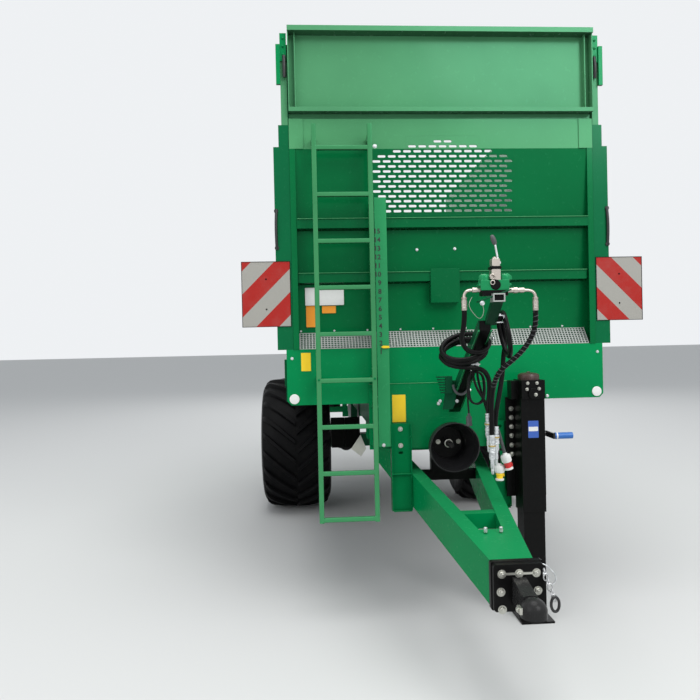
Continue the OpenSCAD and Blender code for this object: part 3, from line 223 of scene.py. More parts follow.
def green_paint(name, tone, bleach=0.0, roughness=0.24, sheen=0.05, edge=0.0025, gloss=0.3):
    """Gloss paint: panels in slightly different tones, faint waves of the sheet, settled dust, and painted shade on
    faces that look down.
    """
    paint = Finish(name)
    patch = paint.span(paint.noise(1.1, 4), 0.32, 0.68)
    dust = paint.span(paint.noise(34, 6, 0.7), 0.52, 0.82)
    pale = tuple(bleach * p + (1 - bleach) * t for t, p in zip(tone, (0.42, 0.72, 0.5)))
    colour = paint.mix(patch, tuple(0.86 * c for c in pale), tuple(1.12 * c for c in pale))
    film = (dust * 0.014 + paint.upward() * 0.03).clamped()
    colour = paint.mix(film, colour, (0.3, 0.47, 0.34))
    # Faces that look down are darkened toward a deep green: painted shade.
    colour = paint.mix(paint.beneath() * 0.8, colour, tuple(0.12 * c for c in tone))
    waves = paint.noise(2.6, 2, place=paint.stretched((1, 1, 1.7))) + paint.noise(420, 2) * 0.02
    paint.bump(waves, 0.22, 0.004, edge)
    paint.set(Base_Color=colour, Roughness=roughness + dust * 0.1, Coat_Weight=sheen, Coat_Roughness=0.1,
                     Specular_IOR_Level=gloss, Specular_Tint=(0.2, 1.0, 0.55, 1.0))


def wall_paint(name, painted_shade_tone, painted_light_tone, bend_z):
    """The front sheet: a deep tone below its bend for painted shade and a pale one above it for painted sky
    reflection, with a little dust over both.
    """
    paint = Finish(name)
    patch = paint.span(paint.noise(0.9, 4), 0.32, 0.68)
    dust = paint.span(paint.noise(30, 6, 0.7), 0.52, 0.84)
    above = paint.axes()[2] > bend_z
    colour = paint.mix(above, painted_shade_tone, painted_light_tone)
    shade = paint.mix(patch, (0.86, 0.86, 0.86), (1.12, 1.12, 1.12))
    colour = paint.node("ShaderNodeMix", {"data_type": "RGBA", "blend_type": "MULTIPLY"},
                        {0: 1.0, 6: colour, 7: shade}, 2)
    colour = paint.mix(dust * 0.01, colour, (0.3, 0.47, 0.34))
    paint.bump(paint.noise(2.2, 2, place=paint.stretched((1, 1, 1.6))) + paint.noise(420, 2) * 0.02,
               0.22, 0.005, 0.003)
    paint.set(Base_Color=colour, Roughness=0.24 + dust * 0.1, Coat_Weight=0.05, Coat_Roughness=0.1,
                     Specular_IOR_Level=0.3, Specular_Tint=(0.2, 1.0, 0.55, 1.0))


def black_paint(name, grey=0.0035, roughness=0.3):
    paint = Finish(name)
    dust = paint.span(paint.noise(55, 6, 0.7), 0.5, 0.85)
    film = (dust * 0.02 + paint.upward() * 0.02).clamped()
    colour = paint.mix(film, (grey, grey, grey), (0.2, 0.19, 0.17))
    paint.bump(paint.noise(500, 2), 0.06, 0.0006, 0.003)
    paint.set(Base_Color=colour, Roughness=roughness + dust * 0.2, Coat_Weight=0.0,
                     Specular_IOR_Level=0.1)


def bare_steel(name, tint=(0.6, 0.61, 0.62), roughness=0.34):
    steel = Finish(name)
    grain = steel.noise(60, 5, 0.65, steel.stretched((1, 6, 6)))
    stain = steel.span(steel.noise(9, 4), 0.45, 0.75)
    colour = steel.mix(stain * 0.45, tint, (0.36, 0.35, 0.33))
    steel.bump(grain, 0.06, 0.0008)
    steel.set(Base_Color=colour, Metallic=0.9, Roughness=roughness + stain * 0.18 + grain * 0.06)


def zinc_spangle(name, dull=(0.5, 0.52, 0.53), bright=(0.74, 0.76, 0.77)):
    """Galvanised steel with its crystals."""
    zinc = Finish(name)
    crystal = zinc.node("ShaderNodeTexVoronoi", {"feature": "F1"}, {"Vector": zinc.place, "Scale": 90.0}, "Color")
    shade = zinc.axes(crystal)[0]
    zinc.bump(zinc.noise(300, 3), 0.05, 0.0005)
    zinc.set(Base_Color=zinc.mix(shade, dull, bright), Metallic=0.8, Roughness=0.3 + shade * 0.16)


def tyre_rubber(name):
    rubber = Finish(name)
    dirt = rubber.span(rubber.noise(14, 6, 0.7), 0.5, 0.8)
    colour = rubber.mix(dirt * 0.16, (0.0035, 0.0035, 0.004), (0.05, 0.045, 0.038))
    rubber.bump(rubber.noise(180, 4), 0.12, 0.001)
    rubber.set(Base_Color=colour, Roughness=0.5 + dirt * 0.25, Specular_IOR_Level=0.1)


def hose_rubber(name, grey=0.0025, sheen=0.36):
    """Smooth hose cover with the faint weave of its cloth wrap and scuffs."""
    rubber = Finish(name)
    scuff = rubber.span(rubber.noise(70, 5, 0.7), 0.55, 0.8)
    weave = rubber.noise(900, 2)
    colour = rubber.mix(scuff * 0.06, (grey, grey, grey * 1.05), (0.15, 0.14, 0.14))
    rubber.bump(weave, 0.12, 0.0008)
    rubber.set(Base_Color=colour, Roughness=sheen + scuff * 0.2, Specular_IOR_Level=0.13)


def plain_coat(name, tint, roughness=0.4, metallic=0.0):
    coat = Finish(name)
    wear = coat.span(coat.noise(34, 5, 0.6), 0.42, 0.8)
    colour = coat.mix(wear * 0.12, tint, tuple(0.65 * c for c in tint))
    coat.bump(coat.noise(260, 2), 0.05, 0.0006)
    coat.set(Base_Color=colour, Roughness=roughness + wear * 0.15, Metallic=metallic)


def crank_coat(name):
    """Black rod and arm, blue grip."""
    coat = Finish(name)
    grip = coat.axes()[0] > 0.5755
    wear = coat.span(coat.noise(40, 5, 0.6), 0.45, 0.8)
    coat.bump(coat.noise(300, 2), 0.06, 0.0006)
    coat.set(Base_Color=coat.mix(grip, (0.004, 0.004, 0.004), (0.015, 0.12, 0.42)), Roughness=0.3 + wear * 0.2)


STRIPE = 0.283    # a red and a white stripe together, measured along an edge


def striped_sheet(name):
    """Retroreflective sheet of slanting red and white stripes, handed by side, with its honeycomb."""
    sheet = Finish(name)
    x, y, z = sheet.axes()
    red = (z + abs(x) - 0.0215).part_of(STRIPE) < 0.5
    cell = sheet.node("ShaderNodeTexVoronoi", {"feature": "DISTANCE_TO_EDGE"},
                      {"Vector": sheet.place, "Scale": 260.0})
    grime = sheet.span(sheet.noise(12, 5, 0.65), 0.45, 0.8)
    colour = sheet.mix(red, (0.33, 0.32, 0.29), (0.36, 0.012, 0.008))
    colour = sheet.mix((grime * 0.12 + (cell < 0.06) * 0.08).clamped(), colour, (0.22, 0.2, 0.18))
    sheet.bump(cell, 0.05, 0.0005, 0.001)
    sheet.set(Base_Color=colour, Roughness=0.34 + grime * 0.2, Specular_IOR_Level=0.25)


green_paint("green_paint", (0.0015, 0.19, 0.055))
black_paint("black_paint")
bare_steel("bare_steel")
plain_coat("crank_paint", (0.02, 0.16, 0.52), 0.3)
plain_coat("black_plastic", (0.01, 0.01, 0.011), 0.42)
striped_sheet("striped_board")
plain_coat("rim_paint", (0.62, 0.62, 0.6), 0.36)
tyre_rubber("tyre")
plain_coat("lamp_plastic", (0.42, 0.012, 0.01), 0.2)
hose_rubber("hose_rubber")
# The front sheet's two tones: the deep one below the bend is painted shade, the pale one above it painted sky
# reflection.
wall_paint("shaded_and_lit_wall_green", (0.0005, 0.118, 0.032), (0.078, 0.28, 0.122), 2.902)
# A paler copy of the green for the upper boards: partly faded paint, partly painted sky reflection.
green_paint("faded_and_lit_green", (0.074, 0.25, 0.116))
green_paint("member_green", (0.0005, 0.205, 0.06))
green_paint("plate_green", (0.0008, 0.18, 0.052))
green_paint("beam_green", (0.001, 0.2, 0.06), gloss=0.03, sheen=0.0)
# A paler copy of the green for the ladder and the rib highlights: painted light.
green_paint("lit_pale_green", (0.05, 0.235, 0.092))
# A paler copy of the green for the level scale and its channel's flanges: painted light.
green_paint("lit_scale_green", (0.03, 0.275, 0.1))
green_paint("console_green", (0.001, 0.15, 0.045), gloss=0.1, sheen=0.0)
# A darker copy of the green for the front ribs: painted shade.
green_paint("shaded_rib_green", (0.0005, 0.1, 0.028))
# A darker copy of the green for the side walls and board seals: painted shade.
green_paint("shaded_side_green", (0.002, 0.105, 0.035))
# A darker copy of the green for the underbody and the shade sheets: painted shade.
green_paint("shaded_under_green", (0.003, 0.05, 0.02), roughness=0.4, sheen=0.05)
green_paint("valve_green", (0.012, 0.2, 0.07), edge=0.0015)
zinc_spangle("zinc")
plain_coat("strip_zinc", (0.36, 0.38, 0.36), 0.6, 0.35)
bare_steel("passivated", (0.5, 0.45, 0.4), 0.3)
bare_steel("bolt_zinc", (0.5, 0.5, 0.45), 0.26)
crank_coat("crank_coat")
black_paint("cast_black", 0.02, 0.24)
plain_coat("brass", (0.55, 0.4, 0.14), 0.3, 0.9)
plain_coat("pale_rim", (0.36, 0.38, 0.36), 0.4)
plain_coat("white_coat", (0.72, 0.72, 0.7), 0.35)
plain_coat("grey_plastic", (0.06, 0.062, 0.066), 0.45)
plain_coat("red_plastic", (0.6, 0.02, 0.02), 0.3)
plain_coat("yellow_plastic", (0.9, 0.6, 0.008), 0.4)
plain_coat("orange_label", (0.85, 0.3, 0.012), 0.4)
plain_coat("brown_cap", (0.05, 0.022, 0.018), 0.35)
plain_coat("blue_label", (0.03, 0.1, 0.42), 0.4)
hose_rubber("cable_cover", 0.014, 0.5)

NODE_FINISH = {node: finish for finish, nodes in (
    ("shaded_and_lit_wall_green", "front_wall view_grille front_posts"), ("shaded_rib_green", "front_ribs"),
    ("shaded_side_green", "left_side_wall right_side_wall"),
    ("faded_and_lit_green", "front_extension left_side_board right_side_board"),
    ("member_green", "front_cross_member"), ("plate_green", "lower_front_plate"),
    ("beam_green", "drawbar"), ("console_green", "beam_consoles"), ("lit_pale_green", "ladder"),
    ("lit_scale_green", "level_scale"),
    ("shaded_under_green", "chassis_rails outriggers axle floor_plate hose_holder beater_drive"),
    ("strip_zinc", "perforated_strip"), ("cast_black", "drive_shaft ball_coupling"),
    ("crank_coat", "jack_crank"), ("black_paint", "wheel_chocks"),
) for node in nodes.split()}
for part in frame["record"]["subparts"]:
    mesh = frame["nodes"][part["node"]].data
    mesh.materials.clear()
    mesh.materials.append(FINISHES[NODE_FINISH.get(part["node"], part["material_slot"])])


# Forms

def at(place):
    """A point in millimetres from the front posts' plane, in the frame's metres."""
    return Vector((place[0] / 1000, place[1] / 1000 + FRONT_Y, place[2] / 1000))


def rounded(x0, x1, z0, z1, r, steps=4):
    """Outline of a rectangle with round corners."""
    corners = ((x1 - r, z1 - r, 0), (x0 + r, z1 - r, 90), (x0 + r, z0 + r, 180), (x1 - r, z0 + r, 270))
    return [(cx + r * math.cos(math.radians(start + 90 * k / steps)),
             cz + r * math.sin(math.radians(start + 90 * k / steps)))
            for cx, cz, start in corners for k in range(steps + 1)]


SHARP = math.radians(34)    # edges sharper than this stay crisp


class Shape:
    """The mesh of one piece, put together from slabs, drawn outlines, turned forms and bent bars."""

    def __init__(self):
        self.mesh = bmesh.new()

    def lofted(self, rings, ends=True):
        rows = [[self.mesh.verts.new(at(p)) for p in ring] for ring in rings]
        count = len(rows[0])
        for a, b in zip(rows, rows[1:]):
            for k in range(count):
                self.mesh.faces.new((a[k], a[(k + 1) % count], b[(k + 1) % count], b[k]))
        if ends:
            self.mesh.faces.new(rows[0][::-1])
            self.mesh.faces.new(rows[-1])
        return self

    def slab(self, x0, x1, y0, y1, z0, z1):
        return self.lofted([[(x0, y0, z), (x1, y0, z), (x1, y1, z), (x0, y1, z)] for z in (z0, z1)])

    def drawn(self, outline, axis, start, end):
        """An outline seen along an axis, made solid from start to end on it."""
        place = {"x": lambda u, v, w: (w, u, v), "y": lambda u, v, w: (u, w, v), "z": lambda u, v, w: (u, v, w)}
        return self.lofted([[place[axis](u, v, w) for u, v in outline] for w in (start, end)])

    def turned(self, foot, heading, profile, sides=24, phase=0.0):
        """A turned form: pairs of distance along the heading and radius; six sides make a hexagon."""
        axis = Vector(heading).normalized()
        across = axis.orthogonal().normalized()
        other = axis.cross(across)
        return self.lofted([
            [Vector(foot) + axis * along + (across * math.cos(a) + other * math.sin(a)) * max(r, 0.2)
             for a in (phase + math.tau * k / sides for k in range(sides))]
            for along, r in profile
        ])

    def bent(self, route, radius, sides=10, wide=1.0):
        """A bar or pipe that follows points; wide flattens it across."""
        points = [Vector(p) for p in route]
        ahead = [(points[min(i + 1, len(points) - 1)] - points[max(i - 1, 0)]).normalized()
                 for i in range(len(points))]
        side = ahead[0].orthogonal().normalized()
        rings = []
        for place, way in zip(points, ahead):
            side = (side - way * side.dot(way)).normalized()
            other = way.cross(side)
            rings.append([place + (side * math.cos(a) * wide + other * math.sin(a)) * radius
                          for a in (math.tau * k / sides for k in range(sides))])
        return self.lofted(rings)

    def bolt(self, x, y, z, heading=(0, -1, 0), size=17, tall=7, washer=True):
        """Hexagon head with its chamfer, washer and stud end."""
        way = Vector(heading).normalized()
        foot = Vector((x, y, z))
        if washer:
            self.turned(foot, way, [(0, size * 0.78), (size * 0.12, size * 0.78)], 20)
            foot = foot + way * size * 0.12
        r = size * 0.577
        turn = chance.random()
        self.turned(foot, way, [(0, r), (tall * 0.82, r), (tall, r * 0.86)], 6, turn)
        return self.turned(foot + way * tall, way, [(0, size * 0.26), (size * 0.1, size * 0.26),
                                                    (size * 0.14, size * 0.2)], 12)

    def finished(self, name, finish, body="spreader", bevel=0.0, slot=None, stands_for=()):
        """The piece as an object that rides on its body."""
        bmesh.ops.recalc_face_normals(self.mesh, faces=self.mesh.faces)
        data = bpy.data.meshes.new(name)
        self.mesh.to_mesh(data)
        self.mesh.free()
        data.materials.append(FINISHES[finish])
        data.polygons.foreach_set("use_smooth", [True] * len(data.polygons))
        data.set_sharp_from_angle(angle=SHARP)
        made = bpy.data.objects.new(name, data)
        bpy.context.scene.collection.objects.link(made)
        if bevel:
            edge = made.modifiers.new("edge", "BEVEL")
            edge.width = bevel / 1000
            edge.segments = 2
            edge.limit_method = "ANGLE"
            edge.angle_limit = SHARP
        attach(made, body)
        if stands_for:
            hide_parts(*stands_for)
        return made


def both_sides(draw):
    for side in (-1, 1):
        draw(side)


def side_name(side):
    return "left" if side < 0 else "right"


# Hoses

def eased(points, count, passes=6):
    """Points evenly apart along a smooth line through the given ones, ends kept."""
    given = [Vector(p) for p in points]
    padded = [given[0] * 2 - given[1], *given, given[-1] * 2 - given[-2]]
    line = []
    for a, b, c, d in zip(padded, padded[1:], padded[2:], padded[3:]):
        for k in range(12):
            t = k / 12
            line.append(0.5 * (2 * b + (c - a) * t + (2 * a - 5 * b + 4 * c - d) * t * t
                               + (3 * b - a - 3 * c + d) * t ** 3))
    line.append(given[-1])
    run = [0.0]
    for a, b in zip(line, line[1:]):
        run.append(run[-1] + (b - a).length)
    even, i = [], 0
    for k in range(count):
        want = run[-1] * k / (count - 1)
        while i < len(run) - 2 and run[i + 1] < want:
            i += 1
        share = (want - run[i]) / max(run[i + 1] - run[i], 1e-9)
        even.append(line[i].lerp(line[i + 1], min(share, 1)))
    for _ in range(passes):
        inner = [0.25 * a + 0.5 * b + 0.25 * c for a, b, c in zip(even[1:], even[2:], even[3:])]
        even = [*even[:2], *inner, *even[-2:]]
    return even


def bend(a, b, c):
    """Radius of the bend through three points."""
    area = (b - a).cross(c - a).length
    return (b - a).length * (c - b).length * (a - c).length / (2 * area) if area > 1e-6 else 1e9


def relaxed(route, tightest, first, last):
    """The route with the bends near its two ends eased toward the tightest that is wanted, in 80 rounds at most."""
    for _ in range(80):
        tight = {near for i in range(3, len(route) - 3) if (i < first or i >= len(route) - last)
                 and bend(route[i - 2], route[i], route[i + 2]) < tightest
                 for near in range(i - 3, i + 4) if 2 <= near < len(route) - 2}
        if not tight:
            break
        route = [0.25 * route[i - 1] + 0.5 * route[i] + 0.25 * route[i + 1] if i in tight else route[i]
                 for i in range(len(route))]
    return route


def hose(name, route, diameter, finish="hose_rubber", stands_for=()):
    """A free hose or cable along its route."""
    curve = bpy.data.curves.new(name, "CURVE")
    curve.dimensions = "3D"
    curve.resolution_u = 4
    curve.bevel_depth = diameter / 2000
    curve.bevel_resolution = 3
    curve.use_fill_caps = True
    line = curve.splines.new("NURBS")
    line.points.add(len(route) - 1)
    for point, place in zip(line.points, route):
        point.co = (*at(place), 1)
    line.order_u = 4
    line.use_endpoint_u = True
    curve.materials.append(FINISHES[finish])
    made = bpy.data.objects.new(name, curve)
    bpy.context.scene.collection.objects.link(made)
    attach(made, "spreader")
    if stands_for:
        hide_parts(*stands_for)
    tuple(at(route[0]))


def turned_about(v, back, aside):
    """A vector leaned back about X, then aside about Y, in degrees."""
    b, a = math.radians(back), math.radians(aside)
    y, z = v[1] * math.cos(b) - v[2] * math.sin(b), v[1] * math.sin(b) + v[2] * math.cos(b)
    return Vector((v[0] * math.cos(a) + z * math.sin(a), y, z * math.cos(a) - v[0] * math.sin(a)))


COIL_PLACE = Vector((-35, -620, 1643))     # middle of the big coil
COIL_R = 142


def on_coil(turn, up, r=COIL_R):
    t = math.radians(turn)
    return COIL_PLACE + turned_about((r * math.cos(t), r * math.sin(t), up), 29, -14.5)


def coil_turns():
    """Three turns of the left hose, the middle one inside the others, led in and out on easy arcs."""
    arc = [(104 * (1 - math.cos(math.radians(f))) / COIL_R * 57.3, 33 + 104 * (1 - math.sin(math.radians(f))))
           for f in range(35, 90, 11)]
    inward = [on_coil(235 + more, up) for more, up in arc]
    inset = lambda t: 26 * min(1, max(0, 1.35 * math.sin(math.pi * t) ** 1.2 - 0.1))
    round_it = [on_coil(277 + 1101 * k / 78, 33 - 66 * k / 78, COIL_R - inset(k / 78)) for k in range(79)]
    outward = [on_coil(1060 - more, -up) for more, up in list(reversed(arc))[:-2]]
    return inward + round_it + outward


RING_PLACE = Vector((154.05, -725, 1722))  # middle of the upright ring of hose


def on_ring(turn, along):
    t = math.radians(turn)
    v = turned_about((118 * math.cos(t), 118 * math.sin(t), along), 0, 79.5)
    b = math.radians(-10)
    return RING_PLACE + Vector((v.x * math.cos(b) - v.y * math.sin(b), v.x * math.sin(b) + v.y * math.cos(b), v.z))


LEFT_TOP, RIGHT_TOP = (-92, -880, 1852), (269, -880, 1846)
LEFT_ROUTE = [LEFT_TOP, (-92, -880, 1826), (-92, -880, 1800), (-95, -868, 1752), (-101, -838, 1708),
              *coil_turns(), (118, -606, 1520), (112, -604, 1470), (98, -608, 1410), (90, -618, 1350),
              (88, -620, 1296), (88, -620, 1210)]
RIGHT_ROUTE = [RIGHT_TOP, (269, -880, 1820), (269, -880, 1794), (266, -868, 1738), (243, -852, 1682),
               (204, -842, 1630), (158, -838, 1588), (114, -812, 1550), (96, -768, 1505), (92, -718, 1450),
               (92, -684, 1390), (92, -672, 1330), (92, -672, 1260), (92, -672, 1186), (92, -672, 1100)]
LOOP_ROUTE = [*(on_ring(225 + 360 - 495 * k / 33, -14 + 34 * k / 33) for k in range(34)),
              (193, -611, 1680), (186, -607, 1636), (180, -606, 1590), (176, -608, 1530), (165, -615, 1470),
              (148, -628, 1400), (130, -640, 1330), (120, -645, 1275), (120, -645, 1228), (120, -645, 1142)]
RED_ROUTE = [(40, -500, 1563), (40, -500, 1527), (40, -500, 1490), (56, -522, 1425), (84, -552, 1370),
             (114, -580, 1315), (132, -592, 1264), (146, -592, 1212), (165, -592, 1142), (184, -592, 1072)]
YELLOW_ROUTE = [(64, -500, 1563), (64, -500, 1527), (64, -500, 1490), (82, -510, 1410), (104, -522, 1320),
                (126, -535, 1230), (144, -550, 1150), (160, -565, 1070), (160, -565, 1045), (160, -565, 1012)]


def cable_turns():
    """Four long turns of the lamp cable on the channel's hook, each beside the last."""
    route = [Vector((42, -478, 1545)), Vector((35, -474, 1515)), Vector((28, -470, 1490))]
    straight = (1521 - 1335 - 92) / 2
    turns, steps = 4, 20
    for k in range(turns * steps + 1):
        share = k / steps
        a = math.tau * share + math.pi
        z = 1428 + straight * max(-1, min(1, 1.6 * math.sin(a))) + 46 * math.sin(a)
        route.append(Vector((70 + 46 * math.cos(a), -466 + 9.4 * share, z)))
    route += [Vector((24, -428, 1392)), Vector((26, -424, 1340)), Vector((30, -424, 1300)), Vector((30, -424, 1276))]
    return route


hose("left_valve_hose", relaxed(eased(LEFT_ROUTE, 130, 3), 106, 18, 34), 26,
     stands_for=("valve_hoses", "hose_coils"))
hose("right_valve_hose", eased(RIGHT_ROUTE, 40, 4), 26)
hose("return_hose", eased(LOOP_ROUTE, 64, 1), 26, stands_for=("supply_hoses",))
hose("supply_air_hose", eased(RED_ROUTE, 32, 4), 14)
hose("brake_air_hose", eased(YELLOW_ROUTE, 32, 4), 14)
hose("lamp_cable", eased(cable_turns(), 112, 1), 10, "cable_cover")


def plug(name, top):
    """A steel quick coupler hanging from its hose: crimped ferrule, hexagon, knurled sleeve and nipple."""
    x, y, z = top
    down = (0, 0, -1)
    steel = Shape().turned((x, y, z + 6), down, [(0, 15), (1, 16), (10, 16), (11, 14.4), (14, 14.4), (15, 16),
                                                 (24, 16), (25, 14.4), (28, 14.4), (29, 16), (40, 16), (41, 13),
                                                 (46, 13)])
    steel.turned((x, y, z - 40), down, [(0, 17), (2, 18.5), (22, 18.5), (24, 17)], 6)
    steel.turned((x, y, z - 64), down, [(0, 16), (3, 16), (5, 18), (18, 18), (20, 19.5), (22, 19.5), (24, 18)])
    steel.turned((x, y, z - 86), down, [(0, 15.5), (34, 15.5), (35, 13.5), (38, 13.5), (39, 15.5)])
    for k in range(20):
        a = math.tau * k / 20
        steel.turned((x + 15.2 * math.cos(a), y + 15.2 * math.sin(a), z - 92), down, [(0, 1.3), (24, 1.3)], 5)
    steel.turned((x, y, z - 124), down, [(0, 11), (12, 11), (13, 9.6), (18, 9.6), (19, 11), (44, 11), (49, 9)])
    steel.turned((x, y, z - 172), down, [(0, 8), (22, 8), (29, 6), (32, 4.5), (32.5, 0.2)])
    steel = steel.finished(name, "zinc", stands_for=("hose_couplings",))
    ring = Shape().turned((x, y, z - 49), down, [(0, 19), (1, 20), (7, 20), (8, 19)], 6)
    return [steel, ring.finished(name + "_ring", "brass")]


def air_coupling(name, top, lean, sleeve, tint):
    """An air coupling: pale body with grips, coloured cap and wide flange at its mouth."""
    a = math.radians(lean)
    way = Vector((math.sin(a), 0, -math.cos(a)))
    foot = Vector(top)
    pieces = []
    if sleeve > 40:
        ribs = [(0, 8.6)] + [(s + d, r) for s in range(2, sleeve - 6, 8)
                             for d, r in ((0, 9.6), (5, 9.6), (6, 8.4), (7, 8.4))]
        pieces.append(Shape().turned(foot, way, ribs, 16).finished(name + "_sleeve", "grey_plastic"))
    foot = foot + way * sleeve
    body = Shape().turned(foot - way * 10, way, [(0, 9), (6, 13), (10, 14), (12, 24), (15, 26), (48, 26), (52, 24),
                                                 (54, 20)], 32)
    for k in range(12):
        t = math.tau * k / 12
        side, other = way.orthogonal().normalized(), way.cross(way.orthogonal().normalized())
        place = foot + (side * math.cos(t) + other * math.sin(t)) * 25.4 + way * 10
        body.turned(place, way, [(0, 1.8), (26, 1.8)], 6)
    pieces.append(body.finished(name + "_body", "white_coat"))
    cap = Shape().turned(foot + way * 44, way, [(0, 19), (2, 20), (10, 20), (12, 17), (29, 17), (30, 16)], 28)
    cap.turned(foot + way * 46 + Vector((22, 0, 0)), way, [(0, 4), (18, 4)], 10)
    pieces.append(cap.finished(name + "_cap", tint))
    rim = Shape().turned(foot + way * 73, way, [(0, 17), (1.5, 23), (10, 23), (12, 21), (12.2, 13), (6, 12)], 32)
    pieces.append(rim.finished(name + "_mouth", "white_coat"))
    return pieces


def spiral_guard(name, route, radius, pitch, first, last):
    """A flat plastic coil wound round a hose between two shares of its route."""
    points = [Vector(p) for p in route]
    path, side, gone = [], None, 0.0
    for a, b in list(zip(points, points[1:]))[int(first * len(points)):int(last * len(points))]:
        way = (b - a).normalized()
        side = way.orthogonal().normalized() if side is None else (side - way * side.dot(way)).normalized()
        other = way.cross(side)
        steps = 14
        for k in range(steps):
            share = k / steps
            t = math.tau * (gone + (b - a).length * share) / pitch
            path.append(a.lerp(b, share) + (side * math.cos(t) + other * math.sin(t)) * radius)
        gone += (b - a).length
    return Shape().bent(path, 1.6, 6).finished(name, "grey_plastic")


left_plug = plug("left_coupler", (88, -620, 1296))
right_plug = plug("right_coupler", (92, -672, 1186))
loop_plug = plug("return_coupler", (120, -645, 1228))
red_pieces = air_coupling("supply_coupling", (146, -592, 1212), 15.1, 145, "red_plastic")
yellow_pieces = air_coupling("brake_coupling", (160, -565, 1024), 0, 12, "yellow_plastic")
guard = spiral_guard("hose_guard", eased(RIGHT_ROUTE, 60, 4), 13.4, 24, 0.03, 0.55)
cable_plug = Shape().turned((30, -424, 1284), (0, 0, -1), [(0, 6), (4, 8), (16, 9), (17, 15), (22, 16), (58, 16),
                                                           (60, 18), (70, 18), (72, 16)], 20)
cable_plug = cable_plug.finished("lamp_plug", "grey_plastic")


# Control valve and its holder

def control_valve():
    casting = Shape()
    casting.drawn(rounded(-14, 130, 1940, 1992, 6), "y", -910, -850)
    casting.slab(-22, 142, -906, -854, 1962, 1974)
    for x in (12, 116):
        casting.turned((x, -880, 1990), (0, 0, 1), [(0, 29), (20, 29), (26, 27), (31, 21), (34, 12), (35, 0.2)], 28)
    casting.drawn([(116, 1990), (147, 1992), (146, 2010), (128, 2024), (116, 2024)], "y", -900, -860)
    casting.finished("valve_casting", "valve_green", bevel=2, stands_for=("control_valve",))
    dark = Shape()
    dark.slab(-8, 124, -908, -852, 1914, 1941)
    dark.drawn(rounded(38, 92, 2046, 2060, 4), "y", -910, -854)
    dark.turned((60, -852, 1968), (0, -1, 0), [(0, 26), (60, 26), (62, 24)], 24)
    dark.finished("valve_body", "black_paint", bevel=1.5)
    spool = Shape()
    spool.drawn(rounded(43, 88, 1990, 2046, 5), "y", -906, -858)
    spool.drawn(rounded(46, 86, 2060, 2098, 5), "y", -904, -860)
    for z, r in ((2007, 15), (1978, 13)):
        spool.turned((44, -905, z), (0, -1, 0), [(0, r), (12, r), (14, r - 2), (14.2, r - 5), (4, r - 6)], 24)
    spool.turned((66, -882, 2094), (0, 0, 1), [(0, 12), (8, 12), (10, 9), (14, 9)], 16)
    spool.finished("valve_spool", "passivated", bevel=1)
    lever = Shape().bent([(84, -888, 2074), (80, -888, 2096), (74, -888, 2130), (66, -888, 2178)], 5, 10)
    lever.turned((84, -896, 2078), (0, 1, 0), [(0, 9), (18, 9)], 14)
    lever.finished("valve_lever", "zinc")
    grip = Shape().turned((68, -888, 2168), (-0.34, 0, 0.94),
                          [(0, 7), (3, 10), (16, 12.5), (34, 12.5), (46, 10), (51, 5), (52, 0.2)], 24)
    grip.finished("lever_grip", "grey_plastic")
    fittings = Shape()
    fittings.turned((-12, -880, 1944), (-1, 0, 0),
                    [(0, 14), (3, 14), (3, 11), (18, 11), (18, 13), (38, 13), (40, 10)], 6)
    fittings.turned((128, -880, 1940), (1, 0, 0), [(0, 14), (4, 14), (4, 12), (30, 12), (30, 15), (50, 15),
                                                   (50, 11), (60, 11), (60, 13), (84, 13), (86, 9)], 6)
    for elbow in (((-50, 1944), (-70, 1943), (-86, 1934), (-92, 1916), (-92, 1892)),
                  ((212, 1940), (240, 1939), (260, 1930), (269, 1912), (269, 1888))):
        fittings.bent(eased([(x, -880, z) for x, z in elbow], 16, 2), 7.5, 14)
    for x, z in ((-92, 1852), (269, 1846)):
        fittings.turned((x, -880, z - 8), (0, 0, 1), [(0, 13.2), (2, 14), (14, 14), (15, 13.2), (18, 13.2),
                                                      (19, 14), (30, 14), (31, 13.2), (34, 13.2), (35, 14), (50, 14),
                                                      (52, 11), (56, 11)], 24)
        fittings.turned((x, -880, z + 46), (0, 0, 1), [(0, 11), (2, 13), (12, 13), (14, 10)], 6)
    fittings.finished("valve_fittings", "passivated")


